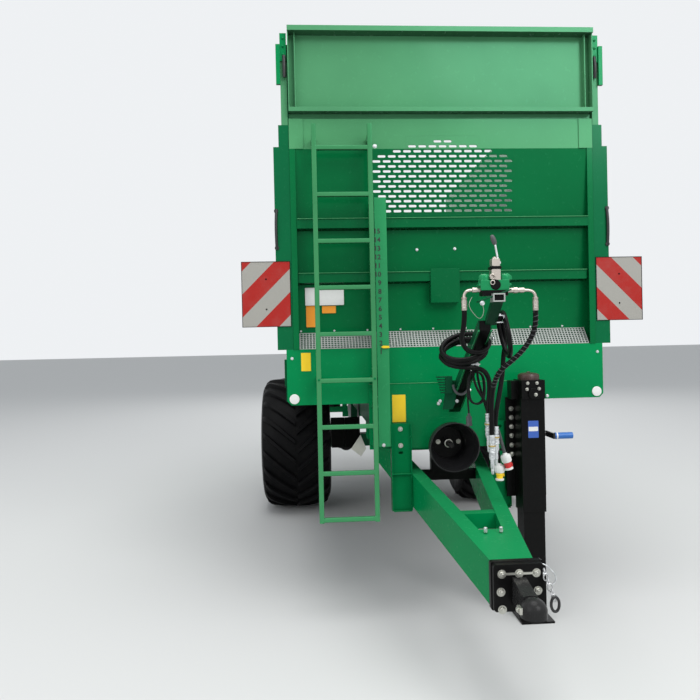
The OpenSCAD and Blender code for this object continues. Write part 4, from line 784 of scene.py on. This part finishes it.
def holder_details():
    rim = Shape()
    for x0, x1, z0, z1 in ((39, 99, 1882, 1888), (39, 99, 1917, 1923), (39, 45, 1888, 1917), (93, 99, 1888, 1917)):
        rim.slab(x0, x1, -940, -880, z0, z1)
    rim.finished("arm_rim", "pale_rim", bevel=1)
    # A black sheet inside the rim: painted shade in the arm's opening.
    Shape().slab(44, 94, -930, -926, 1887, 1918).finished("arm_opening_shade", "black_paint", slot="green_paint")
    plate = Shape().drawn([(-32, 1880), (134, 1938), (134, 1946), (-32, 1888)], "y", -930, -888)
    plate.finished("valve_plate", "shaded_under_green", bevel=1)
    bolts = Shape()
    bolts.bolt(-14, -930, 1876, size=15, tall=8)
    for x, z in ((-91, 1339), (-101, 1324), (11, 1336)):
        bolts.bolt(x, -211, z, size=13, tall=6)
    for y, z in ((-180, 1398), (-700, 1702)):
        bolts.bolt(96.5, y, z, (1, 0, 0), size=15, tall=6)
    bolts.finished("holder_bolts", "zinc")
    half_ring = [(27 + 45 * math.cos(a), -250, 1436 - 58 * math.sin(a))
                 for a in (math.pi * k / 20 for k in range(21))]
    Shape().bent(half_ring, 8, 12).finished("cable_ring", "grey_plastic")
    wire = eased([(-57, -900, 1909), (-74, -900, 1870), (-44, -882, 1826), (-9, -866, 1801), (12, -860, 1836),
                  (4, -872, 1868)], 30, 4)
    Shape().bent(wire, 1.4, 8).finished("safety_wire", "bolt_zinc")
    flange, inside = Shape(), Shape()
    low = lambda y, z: (y, 1243 - 0.65 * y + z)
    for x0, x1 in ((2, 11), (67, 76)):
        flange.drawn([low(-772, 4), low(-772, -5), low(-60, -5), low(-60, 4)], "x", x0, x1)
    flange.finished("channel_flange", "lit_scale_green", bevel=1)
    # A dark sheet across the channel: painted shade where its open inside lies in shadow.
    inside.drawn([low(-771, 50), low(-774, 48), low(-774, -2), low(-60, -2), low(-60, 2)], "x", 11, 67)
    inside.finished("channel_shade_sheet", "black_paint", slot="green_paint")
    clips = Shape()
    for x in (40, 64):
        clips.turned((x, -500, 1574), (0, 0, -1), [(0, 12), (14, 12), (14, 10), (26, 10), (28, 8)], 6)
    clips.slab(28, 78, -512, -488, 1560, 1566)
    clips.finished("air_glands", "zinc")
    strap = Shape()
    place = on_ring(225 + 360, -14)
    strap.slab(90, 128, place.y - 14, place.y + 14, place.z - 20, place.z - 15)
    strap.slab(90, 128, place.y - 14, place.y + 14, place.z + 15, place.z + 20)
    strap.slab(124, 129, place.y - 14, place.y + 14, place.z - 20, place.z + 20)
    strap.bolt(110, place.y, place.z + 20, (0, 0, 1), size=10, tall=5)
    strap.finished("ring_strap", "zinc", bevel=1)
    hook = eased([(24, -470, 1560), (24, -490, 1540), (44, -490, 1520), (44, -440, 1516), (44, -424, 1522),
                  (44, -420, 1540)], 24, 3)
    hook = Shape().bent(hook, 4, 8)
    hook.finished("cable_hook", "zinc")


# Perforated strip between the member and the front wall

STRIP_FOOT, STRIP_TOP = (8, 1664), (89, 1766)
HOLES_ACROSS, HOLES_UP = 96, 8


def strip_place(x, s, deep):
    """A point of the strip: x, distance up its slope and depth behind its face."""
    run = math.dist(STRIP_FOOT, STRIP_TOP)
    dy, dz = (STRIP_TOP[0] - STRIP_FOOT[0]) / run, (STRIP_TOP[1] - STRIP_FOOT[1]) / run
    return x, STRIP_FOOT[0] + dy * s + dz * deep, STRIP_FOOT[1] + dz * s - dy * deep


def perforated_strip():
    """Rows of small oblong holes punched through one long strip."""
    run = math.dist(STRIP_FOOT, STRIP_TOP)
    hole_w, hole_h = 13.0, 11.0
    step_x, step_s = 2 * 918 / HOLES_ACROSS, (run - 6) / HOLES_UP
    xs = [-922] + [v for c in range(HOLES_ACROSS) for v in (-918 + (c + 0.5) * step_x - hole_w / 2,
                                                           -918 + (c + 0.5) * step_x + hole_w / 2)] + [922]
    ss = [0] + [v for r in range(HOLES_UP) for v in (3 + (r + 0.5) * step_s - hole_h / 2,
                                                    3 + (r + 0.5) * step_s + hole_h / 2)] + [run]
    strip = Shape()
    layers = [[[strip.mesh.verts.new(at(strip_place(x, s, deep))) for s in ss] for x in xs] for deep in (0, 2.5)]
    for c in range(len(xs) - 1):
        for r in range(len(ss) - 1):
            if c % 2 and r % 2:
                walls = (((c, r), (c + 1, r)), ((c + 1, r), (c + 1, r + 1)), ((c + 1, r + 1), (c, r + 1)),
                         ((c, r + 1), (c, r)))
                for (ca, ra), (cb, rb) in walls:
                    strip.mesh.faces.new((layers[0][ca][ra], layers[0][cb][rb], layers[1][cb][rb], layers[1][ca][ra]))
                continue
            for layer in layers:
                strip.mesh.faces.new((layer[c][r], layer[c + 1][r], layer[c + 1][r + 1], layer[c][r + 1]))
    edges = [(c, 0) for c in range(len(xs))] + [(len(xs) - 1, r) for r in range(len(ss))]
    edges += [(c, len(ss) - 1) for c in reversed(range(len(xs)))] + [(0, r) for r in reversed(range(len(ss)))]
    for (ca, ra), (cb, rb) in zip(edges, edges[1:]):
        if (ca, ra) != (cb, rb):
            strip.mesh.faces.new((layers[0][ca][ra], layers[0][cb][rb], layers[1][cb][rb], layers[1][ca][ra]))
    # A dark green sheet just behind the strip, so that the holes show painted shade.
    corners = ((-921, 1), (921, 1), (921, run - 1), (-921, run - 1))
    shade = Shape().lofted([[strip_place(x, s, deep) for x, s in corners] for deep in (14, 15)])
    shade.finished("strip_shade_sheet", "shaded_under_green")
    strip.finished("perforated_sheet", "strip_zinc", stands_for=("perforated_strip",))


# Front wall, scale, boards and plates

WALL_LEAN, WALL_BEND = 0.078, 2902    # rearward lean of the front sheet, and where it starts


def wall_y(z):
    return WALL_LEAN * (WALL_BEND - z)


def front_fasteners():
    bolts = Shape()
    for x, z in ((-169, 2278), (74, 2281)):
        bolts.bolt(x, wall_y(z) - 1, z, size=12, tall=5)
    for k in range(9):
        bolts.bolt(-912 + 211.2 * k, wall_y(1777) - 1, 1777, size=8, tall=4)
    for side in (-1, 1):
        bolts.bolt(side * 970, -1, 1608, size=12, tall=5)
        for y in (400, 1200, 2000, 2800, 3600, 4400):
            bolts.bolt(side * 1020, y, 2985, (side, 0, 0), size=17, tall=7)
    bolts.bolt(634, -13, 1336, size=13, tall=5)
    bolts.bolt(-441, -131, 2880, size=16, tall=7)
    bolts.bolt(-419, -72, 1064, size=14, tall=6)
    bolts.finished("front_bolts", "zinc")
    painted = Shape()
    for x in (-480, 480):
        for z in (1060, 1180, 1300, 1410):
            painted.bolt(x, -12, z, size=17, tall=7)
    for s in (-1, 1):
        painted.bolt(-640 + s * 169, -128, 1478, size=13, tall=4)
    painted.finished("painted_bolts", "plate_green")


def rib_edges():
    """Pale bars along the ribs' folded upper edges and along one lower edge: painted highlight where the light
    catches them.
    """
    edge = Shape()
    for z in (2469, 2135):
        y = wall_y(z) - 48
        edge.bent([(-920, y, z), (-300, y, z), (300, y, z), (920, y, z)], 3, 8)
    edge.bent([(-498, -12, 1437), (0, -12, 1437), (498, -12, 1437)], 2.5, 8)
    edge.finished("rib_edges", "lit_pale_green")


def signs():
    """Blank plates and labels: their places and colours are kept, and nothing is written on them."""
    white = Shape()
    white.drawn(rounded(-881, -637, 1938, 2049, 4), "y", wall_y(2049) - 3, wall_y(1938) - 1)
    for side in (-1, 1):
        white.turned((side * 960, -1, 1355.5), (0, -1, 0), [(0, 31), (4, 31), (6, 29), (7, 20), (7.4, 0.2)], 28)
    white.finished("blank_panel", "white_coat")
    orange = Shape()
    orange.drawn(rounded(-877, -817, 1802, 1936, 3), "y", wall_y(1936) - 2, wall_y(1802) - 1)
    orange.drawn(rounded(-776, -689, 1888, 1934, 3), "y", wall_y(1934) - 2, wall_y(1888) - 1)
    orange.finished("blank_orange_labels", "orange_label")
    yellow = Shape()
    yellow.drawn(rounded(-914, -855, 1528, 1641, 3), "y", -1.6, 2)
    yellow.drawn(rounded(-354, -270, 1196, 1367, 3), "y", -13.6, -10)
    yellow.drawn([(-424, 1668), (-410, 1676), (-372, 1674), (-372, 1661), (-410, 1660)], "y", -80, -73)
    yellow.finished("blank_yellow_labels", "yellow_plastic")


def scale_numerals():
    """The numbers 15 down to 1 beside the level pointer."""
    marks = Shape()
    for number in range(15, 0, -1):
        text = bpy.data.curves.new("numeral", "FONT")
        text.body = str(number)
        text.size = 0.042
        text.offset = 0.0009
        text.align_x = "RIGHT"
        text.extrude = 0.0004
        text.resolution_u = 3
        holder = bpy.data.objects.new("numeral", text)
        bpy.context.scene.collection.objects.link(holder)
        bpy.context.view_layer.update()
        mesh = bpy.data.meshes.new_from_object(holder.evaluated_get(bpy.context.evaluated_depsgraph_get()))
        place = at((-412, -70.6, 2377.5 - 52.84 * (15 - number) - 13))
        mesh.transform(Matrix.Translation(place) @ Matrix.Rotation(math.pi / 2, 4, "X"))
        marks.mesh.from_mesh(mesh)
        bpy.data.objects.remove(holder)
        bpy.data.meshes.remove(mesh)
    marks.finished("scale_numerals", "black_plastic")


def ladder():
    """Square tubes: two stiles with brackets to the wall, and nine rungs."""
    tube = Shape()
    wide = 29
    for side in (-1, 1):
        x = -640 + side * 169
        tube.drawn(rounded(x - wide / 2, x + wide / 2, -130, -130 + wide, 4), "z", 610, 3019)
        for z in (2922, 1458):
            tube.slab(x - 15, x + 15, -103, wall_y(z) if z < WALL_BEND else 0, z, z + 36)
    for k in range(9):
        z = 614 + 281 * k
        tube.drawn(rounded(-129, -129 + wide - 2, z, z + wide - 2, 4), "x", -800, -480)
    tube.finished("ladder_tubes", "lit_pale_green", stands_for=("ladder",))


def board_trim(side):
    name = side_name(side)
    edge = Shape()
    x0, x1 = sorted((side * 969, side * 1270))
    for a, b, c, d in ((x0, x1, 1806, 1809), (x0, x1, 2207, 2210),
                       (x0, x0 + 3, 1809, 2207), (x1 - 3, x1, 1809, 2207)):
        edge.slab(a, b, -6, 0, c, d)
    for z in (1915, 2101):
        edge.bolt((x0 + x1) / 2, -4, z, size=7, tall=2)
    edge.slab(x0 + 20, x1 - 20, 0, 6, 1990, 2020)
    edge.finished(name + "_board_edge", "black_paint", bevel=0.6, slot="bare_steel")


def corner_latches(side):
    name = side_name(side)
    latch = Shape()
    for k in range(3):
        latch.bolt(side * 984, -9, 3480 + 50 * k, size=11, tall=4)
    latch.finished(name + "_latch_bolts", "plate_green")
    seal = Shape().slab(*sorted((side * 954, side * 967)), 26, 34, 3052, 3556)
    seal.finished(name + "_board_seal", "shaded_side_green")
    handle = Shape().bent(eased([(side * 978, -14, 3470), (side * 978, -22, 3430), (side * 978, -22, 3380),
                                 (side * 978, -16, 3338)], 14, 2), 11, 12)
    handle.finished(name + "_latch_handle", "black_plastic")
    lever = Shape().bent(eased([(side * 1046, -4, 2530), (side * 1050, -10, 2450), (side * 1050, -10, 2360),
                                (side * 1048, -4, 2282)], 14, 2), 9, 12)
    lever.turned((side * 1048, 10, 2520), (0, -1, 0), [(0, 13), (18, 13)], 16)
    lever.turned((side * 1048, 10, 2292), (0, -1, 0), [(0, 13), (18, 13)], 16)
    lever.finished(name + "_wall_lever", "black_plastic")


# Drawbar, hitch, jack and shaft guard

def hitch_details():
    bolts = Shape()
    for x, z in ((-75, 702), (0, 702), (75, 702), (-80, 626), (80, 626), (-75, 551), (0, 551), (75, 551)):
        bolts.bolt(x, -1387, z, size=24, tall=9)
    for x0, x1 in ((-60, -14), (14, 60)):
        bolts.slab(x0, x1, -1393, -1387, 698, 707)
    bolts.finished("hitch_bolts", "bolt_zinc")
    studs = Shape()
    for x in (-38, 38):
        studs.turned((x, -997, 770), (0, 0, 1), [(0, 9), (22, 9), (24, 7)], 14)
    studs.finished("nose_studs", "zinc")
    latch = Shape()
    latch.slab(-62, -50, -1586, -1546, 606, 632)
    latch.bolt(-62, -1566, 620, (-1, 0, 0), size=14, tall=6)
    latch.finished("cup_latch", "bolt_zinc", bevel=1)
    cable = Shape().bent(eased([(104, -1386, 738), (118, -1400, 732), (138, -1406, 712), (152, -1406, 688),
                                (150, -1402, 664), (138, -1398, 650)], 26, 3), 2.6, 8)
    cable.finished("breakaway_cable", "zinc")
    chain = Shape()
    for k in range(6):
        foot = Vector((105 + 3.4 * k, -1395 - 14 * k, 706 - 17 * k))
        ring = [foot + Vector((11 * math.cos(t) * (k % 2), 11 * math.cos(t) * (1 - k % 2), 15 * math.sin(t)))
                for t in (math.tau * n / 12 for n in range(13))]
        chain.bent(ring, 3.2, 6)
    chain.finished("safety_chain", "bare_steel")
    loop = [(120 + 17 * math.cos(t), -1480, 600 + 30 * math.sin(t)) for t in (math.tau * k / 24 for k in range(25))]
    Shape().bent(loop, 6, 10).finished("chain_handle", "black_plastic")


def console_flanges():
    """Folded edges and cross shelves of the two consoles on the beams."""
    for side in (-1, 1):
        fold = Shape()
        for x0, x1, z0, z1 in ((247, 253, 662, 1192), (366, 372, 662, 1192),
                               (253, 366, 880, 887), (253, 366, 652, 659)):
            a, b = sorted((side * x0, side * x1))
            fold.slab(a, b, -82, -58, z0, z1)
        fold.finished(side_name(side) + "_console_flange", "console_green", bevel=1.5)


def chock_plate():
    """The bright corner plate on the chocks' holder."""
    plate = Shape().drawn([(-445, 930), (-400, 811), (-443, 748), (-527, 812)], "y", 1436, 1440)
    plate.finished("chock_plate", "bolt_zinc", bevel=1)


def jack_details():
    bolts = Shape()
    for z in (1270, 1215, 1159, 1103, 1045, 989):
        bolts.bolt(373, -99, z, size=19, tall=8)
    for z in (1290, 1230, 1170):
        bolts.bolt(560, -99, z, size=19, tall=8)
    for z in (1057, 1159):
        bolts.bolt(-313, -60, z, size=19, tall=8)
    bolts.finished("console_bolts", "bolt_zinc")
    dark = Shape()
    for x, z in ((428, 1434), (485, 1434), (424, 1398), (497, 1400)):
        dark.bolt(x, -257, z, size=13, tall=6)
    dark.bolt(473, -269, 1366, size=14, tall=6)
    dark.finished("jack_bolts", "bolt_zinc")
    cap = Shape().turned((462, -170, 1450), (0, 0, 1),
                         [(0, 64), (26, 64), (34, 60), (40, 48), (43, 26), (44, 0.2)], 40)
    cap.turned((462, -170, 1490), (0, 0, 1), [(0, 10), (8, 10), (10, 8)], 6)
    cap.finished("jack_cap", "brown_cap")
    white = Shape().drawn(rounded(434, 491, 1146, 1172, 2), "y", -243, -240)
    white.turned((584, -282, 1120), (1, 0, 0), [(0, 21), (8, 21)], 28)
    white.finished("jack_label", "white_coat")
    Shape().drawn(rounded(431, 494, 1106, 1208, 3), "y", -242.2, -240).finished("jack_label_band", "blue_label")


SHAFT_Z = 1052


def shaft_guard():
    bolts = Shape()
    for x, z, size in ((-58, 1057, 19), (72, 1056, 19), (33, 1036, 11)):
        bolts.bolt(x, 49, z, size=size, tall=0.5 * size)
    bolts.finished("bearing_bolts", "bolt_zinc")
    ring = Shape().turned((0, 6, SHAFT_Z), (0, -1, 0), [(0, 19), (0, 26), (5, 27), (6, 25), (6, 19)], 32)
    ring.finished("shaft_ring", "bolt_zinc", body="drive_shaft")
    turn = [math.radians(-7 + 194 * k / 40) for k in range(41)]
    collar = [(171 * math.cos(t), SHAFT_Z + 171 * math.sin(t)) for t in turn]
    collar += [(117 * math.cos(t), SHAFT_Z + 117 * math.sin(t)) for t in reversed(turn)]
    Shape().drawn(collar, "y", -12.5, -6).finished("guard_collar", "plate_green")
    splines = Shape()
    for k in range(6):
        a = math.tau * k / 6
        splines.turned((15.5 * math.cos(a), -80, SHAFT_Z + 15.5 * math.sin(a)), (0, 1, 0),
                       [(0, 2.5), (3, 3.4), (62, 3.4)], 6)
    splines.turned((0, -2, SHAFT_Z), (0, 1, 0), [(0, 20), (4, 22), (12, 22), (14, 28), (20, 28)], 28)
    splines.finished("shaft_splines", "cast_black", body="drive_shaft")


# Wheels

TYRE_R, TYRE_W, AXLE = 672.5, 685, (1003, 3000, 672.5)
LUGS, LUG_H, SKEW = 22, 34, 26
PROFILE = ((0.0, 0), (0.06, 0), (0.42, 4), (0.78, 20), (0.97, 70), (1.0, 150))


def tyre_drop(share):
    """How far the lugs' top lies below the tyre's largest radius at a share of its half width."""
    for (a, low), (b, high) in zip(PROFILE, PROFILE[1:]):
        if share <= b:
            return low + (high - low) * (share - a) / (b - a)
    return PROFILE[-1][1]


def wheel_point(side, x, r, a):
    return side * (AXLE[0] + x), AXLE[1] + r * math.cos(a), AXLE[2] + r * math.sin(a)


def tyre(side):
    name = side_name(side)
    half = TYRE_W / 2
    rows = [(-0.78, 357 - 18), (-0.785, 357), (-0.9, 395), (-0.97, 450), (-1.0, 522), (-0.985, 552), (-0.95, 585)]
    rows += [(s, TYRE_R - LUG_H - tyre_drop(abs(s)))
             for s in (-0.88, -0.78, -0.6, -0.42, -0.2, 0, 0.2, 0.42, 0.6, 0.78, 0.88)]
    rows += [(0.95, 585), (0.985, 552), (1.0, 522), (0.97, 450), (0.9, 395), (0.785, 357), (0.78, 339)]
    case = Shape()
    rings = []
    for k in range(120):
        a = math.tau * k / 120
        rings.append([wheel_point(side, s * half, r, a) for s, r in rows])
    case.lofted(rings + rings[:1], ends=False)
    bmesh.ops.remove_doubles(case.mesh, verts=case.mesh.verts, dist=0.00001)
    pitch = math.tau / LUGS
    for hand in (-1, 1):
        for j in range(LUGS):
            bar = []
            for n in range(11):
                share = 0.02 + 0.97 * n / 10
                middle = (j + (0.5 if hand > 0 else 0) + 0.12) * pitch - math.radians(SKEW) * share
                top = TYRE_R - tyre_drop(share) - (6 if n == 10 else 0)
                low = top - LUG_H - 12
                foot, crown = pitch * (0.17 + 0.05 * share), pitch * (0.1 + 0.035 * share)
                bar.append([wheel_point(side, hand * share * half, r, middle + w)
                            for w, r in ((-foot, low), (-crown, top - 3), (-crown * 0.86, top), (crown * 0.86, top),
                                         (crown, top - 3), (foot, low))])
            case.lofted(bar)
    case.finished(name + "_tyre_cover", "tyre", body=name + "_wheel", stands_for=(name + "_tyre",))
    trim = Shape()
    for r, out in ((500, 0.992), (430, 0.955)):
        ring = [wheel_point(side, out * half, r, math.tau * k / 96) for k in range(97)]
        trim.bent(ring, 5, 8)
    trim.finished(name + "_tyre_beads", "tyre", body=name + "_wheel")
    nuts = Shape()
    for k in range(10):
        x, y, z = wheel_point(side, 139, 122, math.tau * k / 10)
        nuts.bolt(x, y, z, (side, 0, 0), size=30, tall=22)
    nuts.turned(wheel_point(side, 208, 0, 0), (side, 0, 0), [(0, 62), (8, 62), (14, 54), (18, 30), (19, 0.2)], 40)
    x, y, z = wheel_point(side, -64, 300, 0.4)
    nuts.bent([(x, y, z), (x + side * 60, y, z), (x + side * 90, y + 10, z)], 5, 8)
    nuts.finished(name + "_wheel_nuts", "zinc", body=name + "_wheel")


def lamp_lenses():
    low, high = (Vector(c) * 1000 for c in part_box("rear_lamps"))
    for side in (-1, 1):
        x0, x1 = sorted((side * abs(high.x), side * (abs(high.x) - 150)))
        y = high.y - FRONT_Y * 1000
        glass = Shape()
        glass.slab(x0 + 8, x0 + 50, y, y + 5, low.z + 10, high.z - 10)
        glass.slab(x1 - 50, x1 - 8, y, y + 5, low.z + 10, high.z - 10)
        glass.finished(side_name(side) + "_lamp_lens", "orange_label", bevel=2, body="rear_hood", slot="lamp_plastic")


control_valve()
holder_details()
perforated_strip()
front_fasteners()
rib_edges()
signs()
scale_numerals()
ladder()
both_sides(board_trim)
both_sides(corner_latches)
hitch_details()
console_flanges()
chock_plate()
jack_details()
shaft_guard()
both_sides(tyre)
lamp_lenses()


# Floor and light

def pale_ground():
    """A plain pale floor that keeps the shadow."""
    ground = Finish("pale_ground")
    ground.set(Base_Color=(0.6, 0.6, 0.59), Roughness=0.9)
    bpy.ops.mesh.primitive_plane_add(size=260, location=(0, 0, 0))
    floor = bpy.context.object
    floor.name = "floor"
    floor.data.materials.append(ground.material)


def soft_lamp(name, place, aim, size, power):
    light = bpy.data.lights.new(name, "AREA")
    light.shape = "DISK"
    light.size = size
    light.energy = power
    lamp = bpy.data.objects.new(name, light)
    lamp.location = place
    lamp.rotation_euler = (Vector(aim) - Vector(place)).to_track_quat("-Z", "Y").to_euler()
    bpy.context.scene.collection.objects.link(lamp)


def studio_sky():
    """Soft light on the machine; the camera and reflections see a plain pale sky."""
    world = bpy.data.worlds.new("studio_sky")
    bpy.context.scene.world = world
    world.use_nodes = True
    sky = Nodes(world.node_tree)
    sky.tree.nodes.clear()
    ray = lambda kind: sky.node("ShaderNodeLightPath", {}, {}, kind)
    plain = sky.node("ShaderNodeBackground", {}, {"Color": (0.86, 0.88, 0.9), "Strength": 1.0})
    lit = sky.node("ShaderNodeBackground", {}, {"Color": (0.9, 0.95, 1.0), "Strength": 0.62})
    either = lambda a, b: sky.node("ShaderNodeMath", {"operation": "MAXIMUM"}, {0: a, 1: b})
    shown = either(either(ray("Is Camera Ray"), ray("Is Transmission Ray")), ray("Is Glossy Ray"))
    out = sky.tree.nodes.new("ShaderNodeOutputWorld")
    sky.feed(out.inputs[0], sky.node("ShaderNodeMixShader", {}, {0: shown, 1: lit, 2: plain}))


pale_ground()
studio_sky()
soft_lamp("key", (5, -12, 9), (0, -1, 1.6), 7, 820)
soft_lamp("fill", (-9, -8, 6), (0, 0, 1.4), 8, 240)
soft_lamp("rear", (2, 13, 9), (0, 2, 1.5), 8, 500)
soft_lamp("above", (0, -4, 11), (0, -2, 0), 8, 720)
bpy.context.scene.view_settings.view_transform = "Standard"
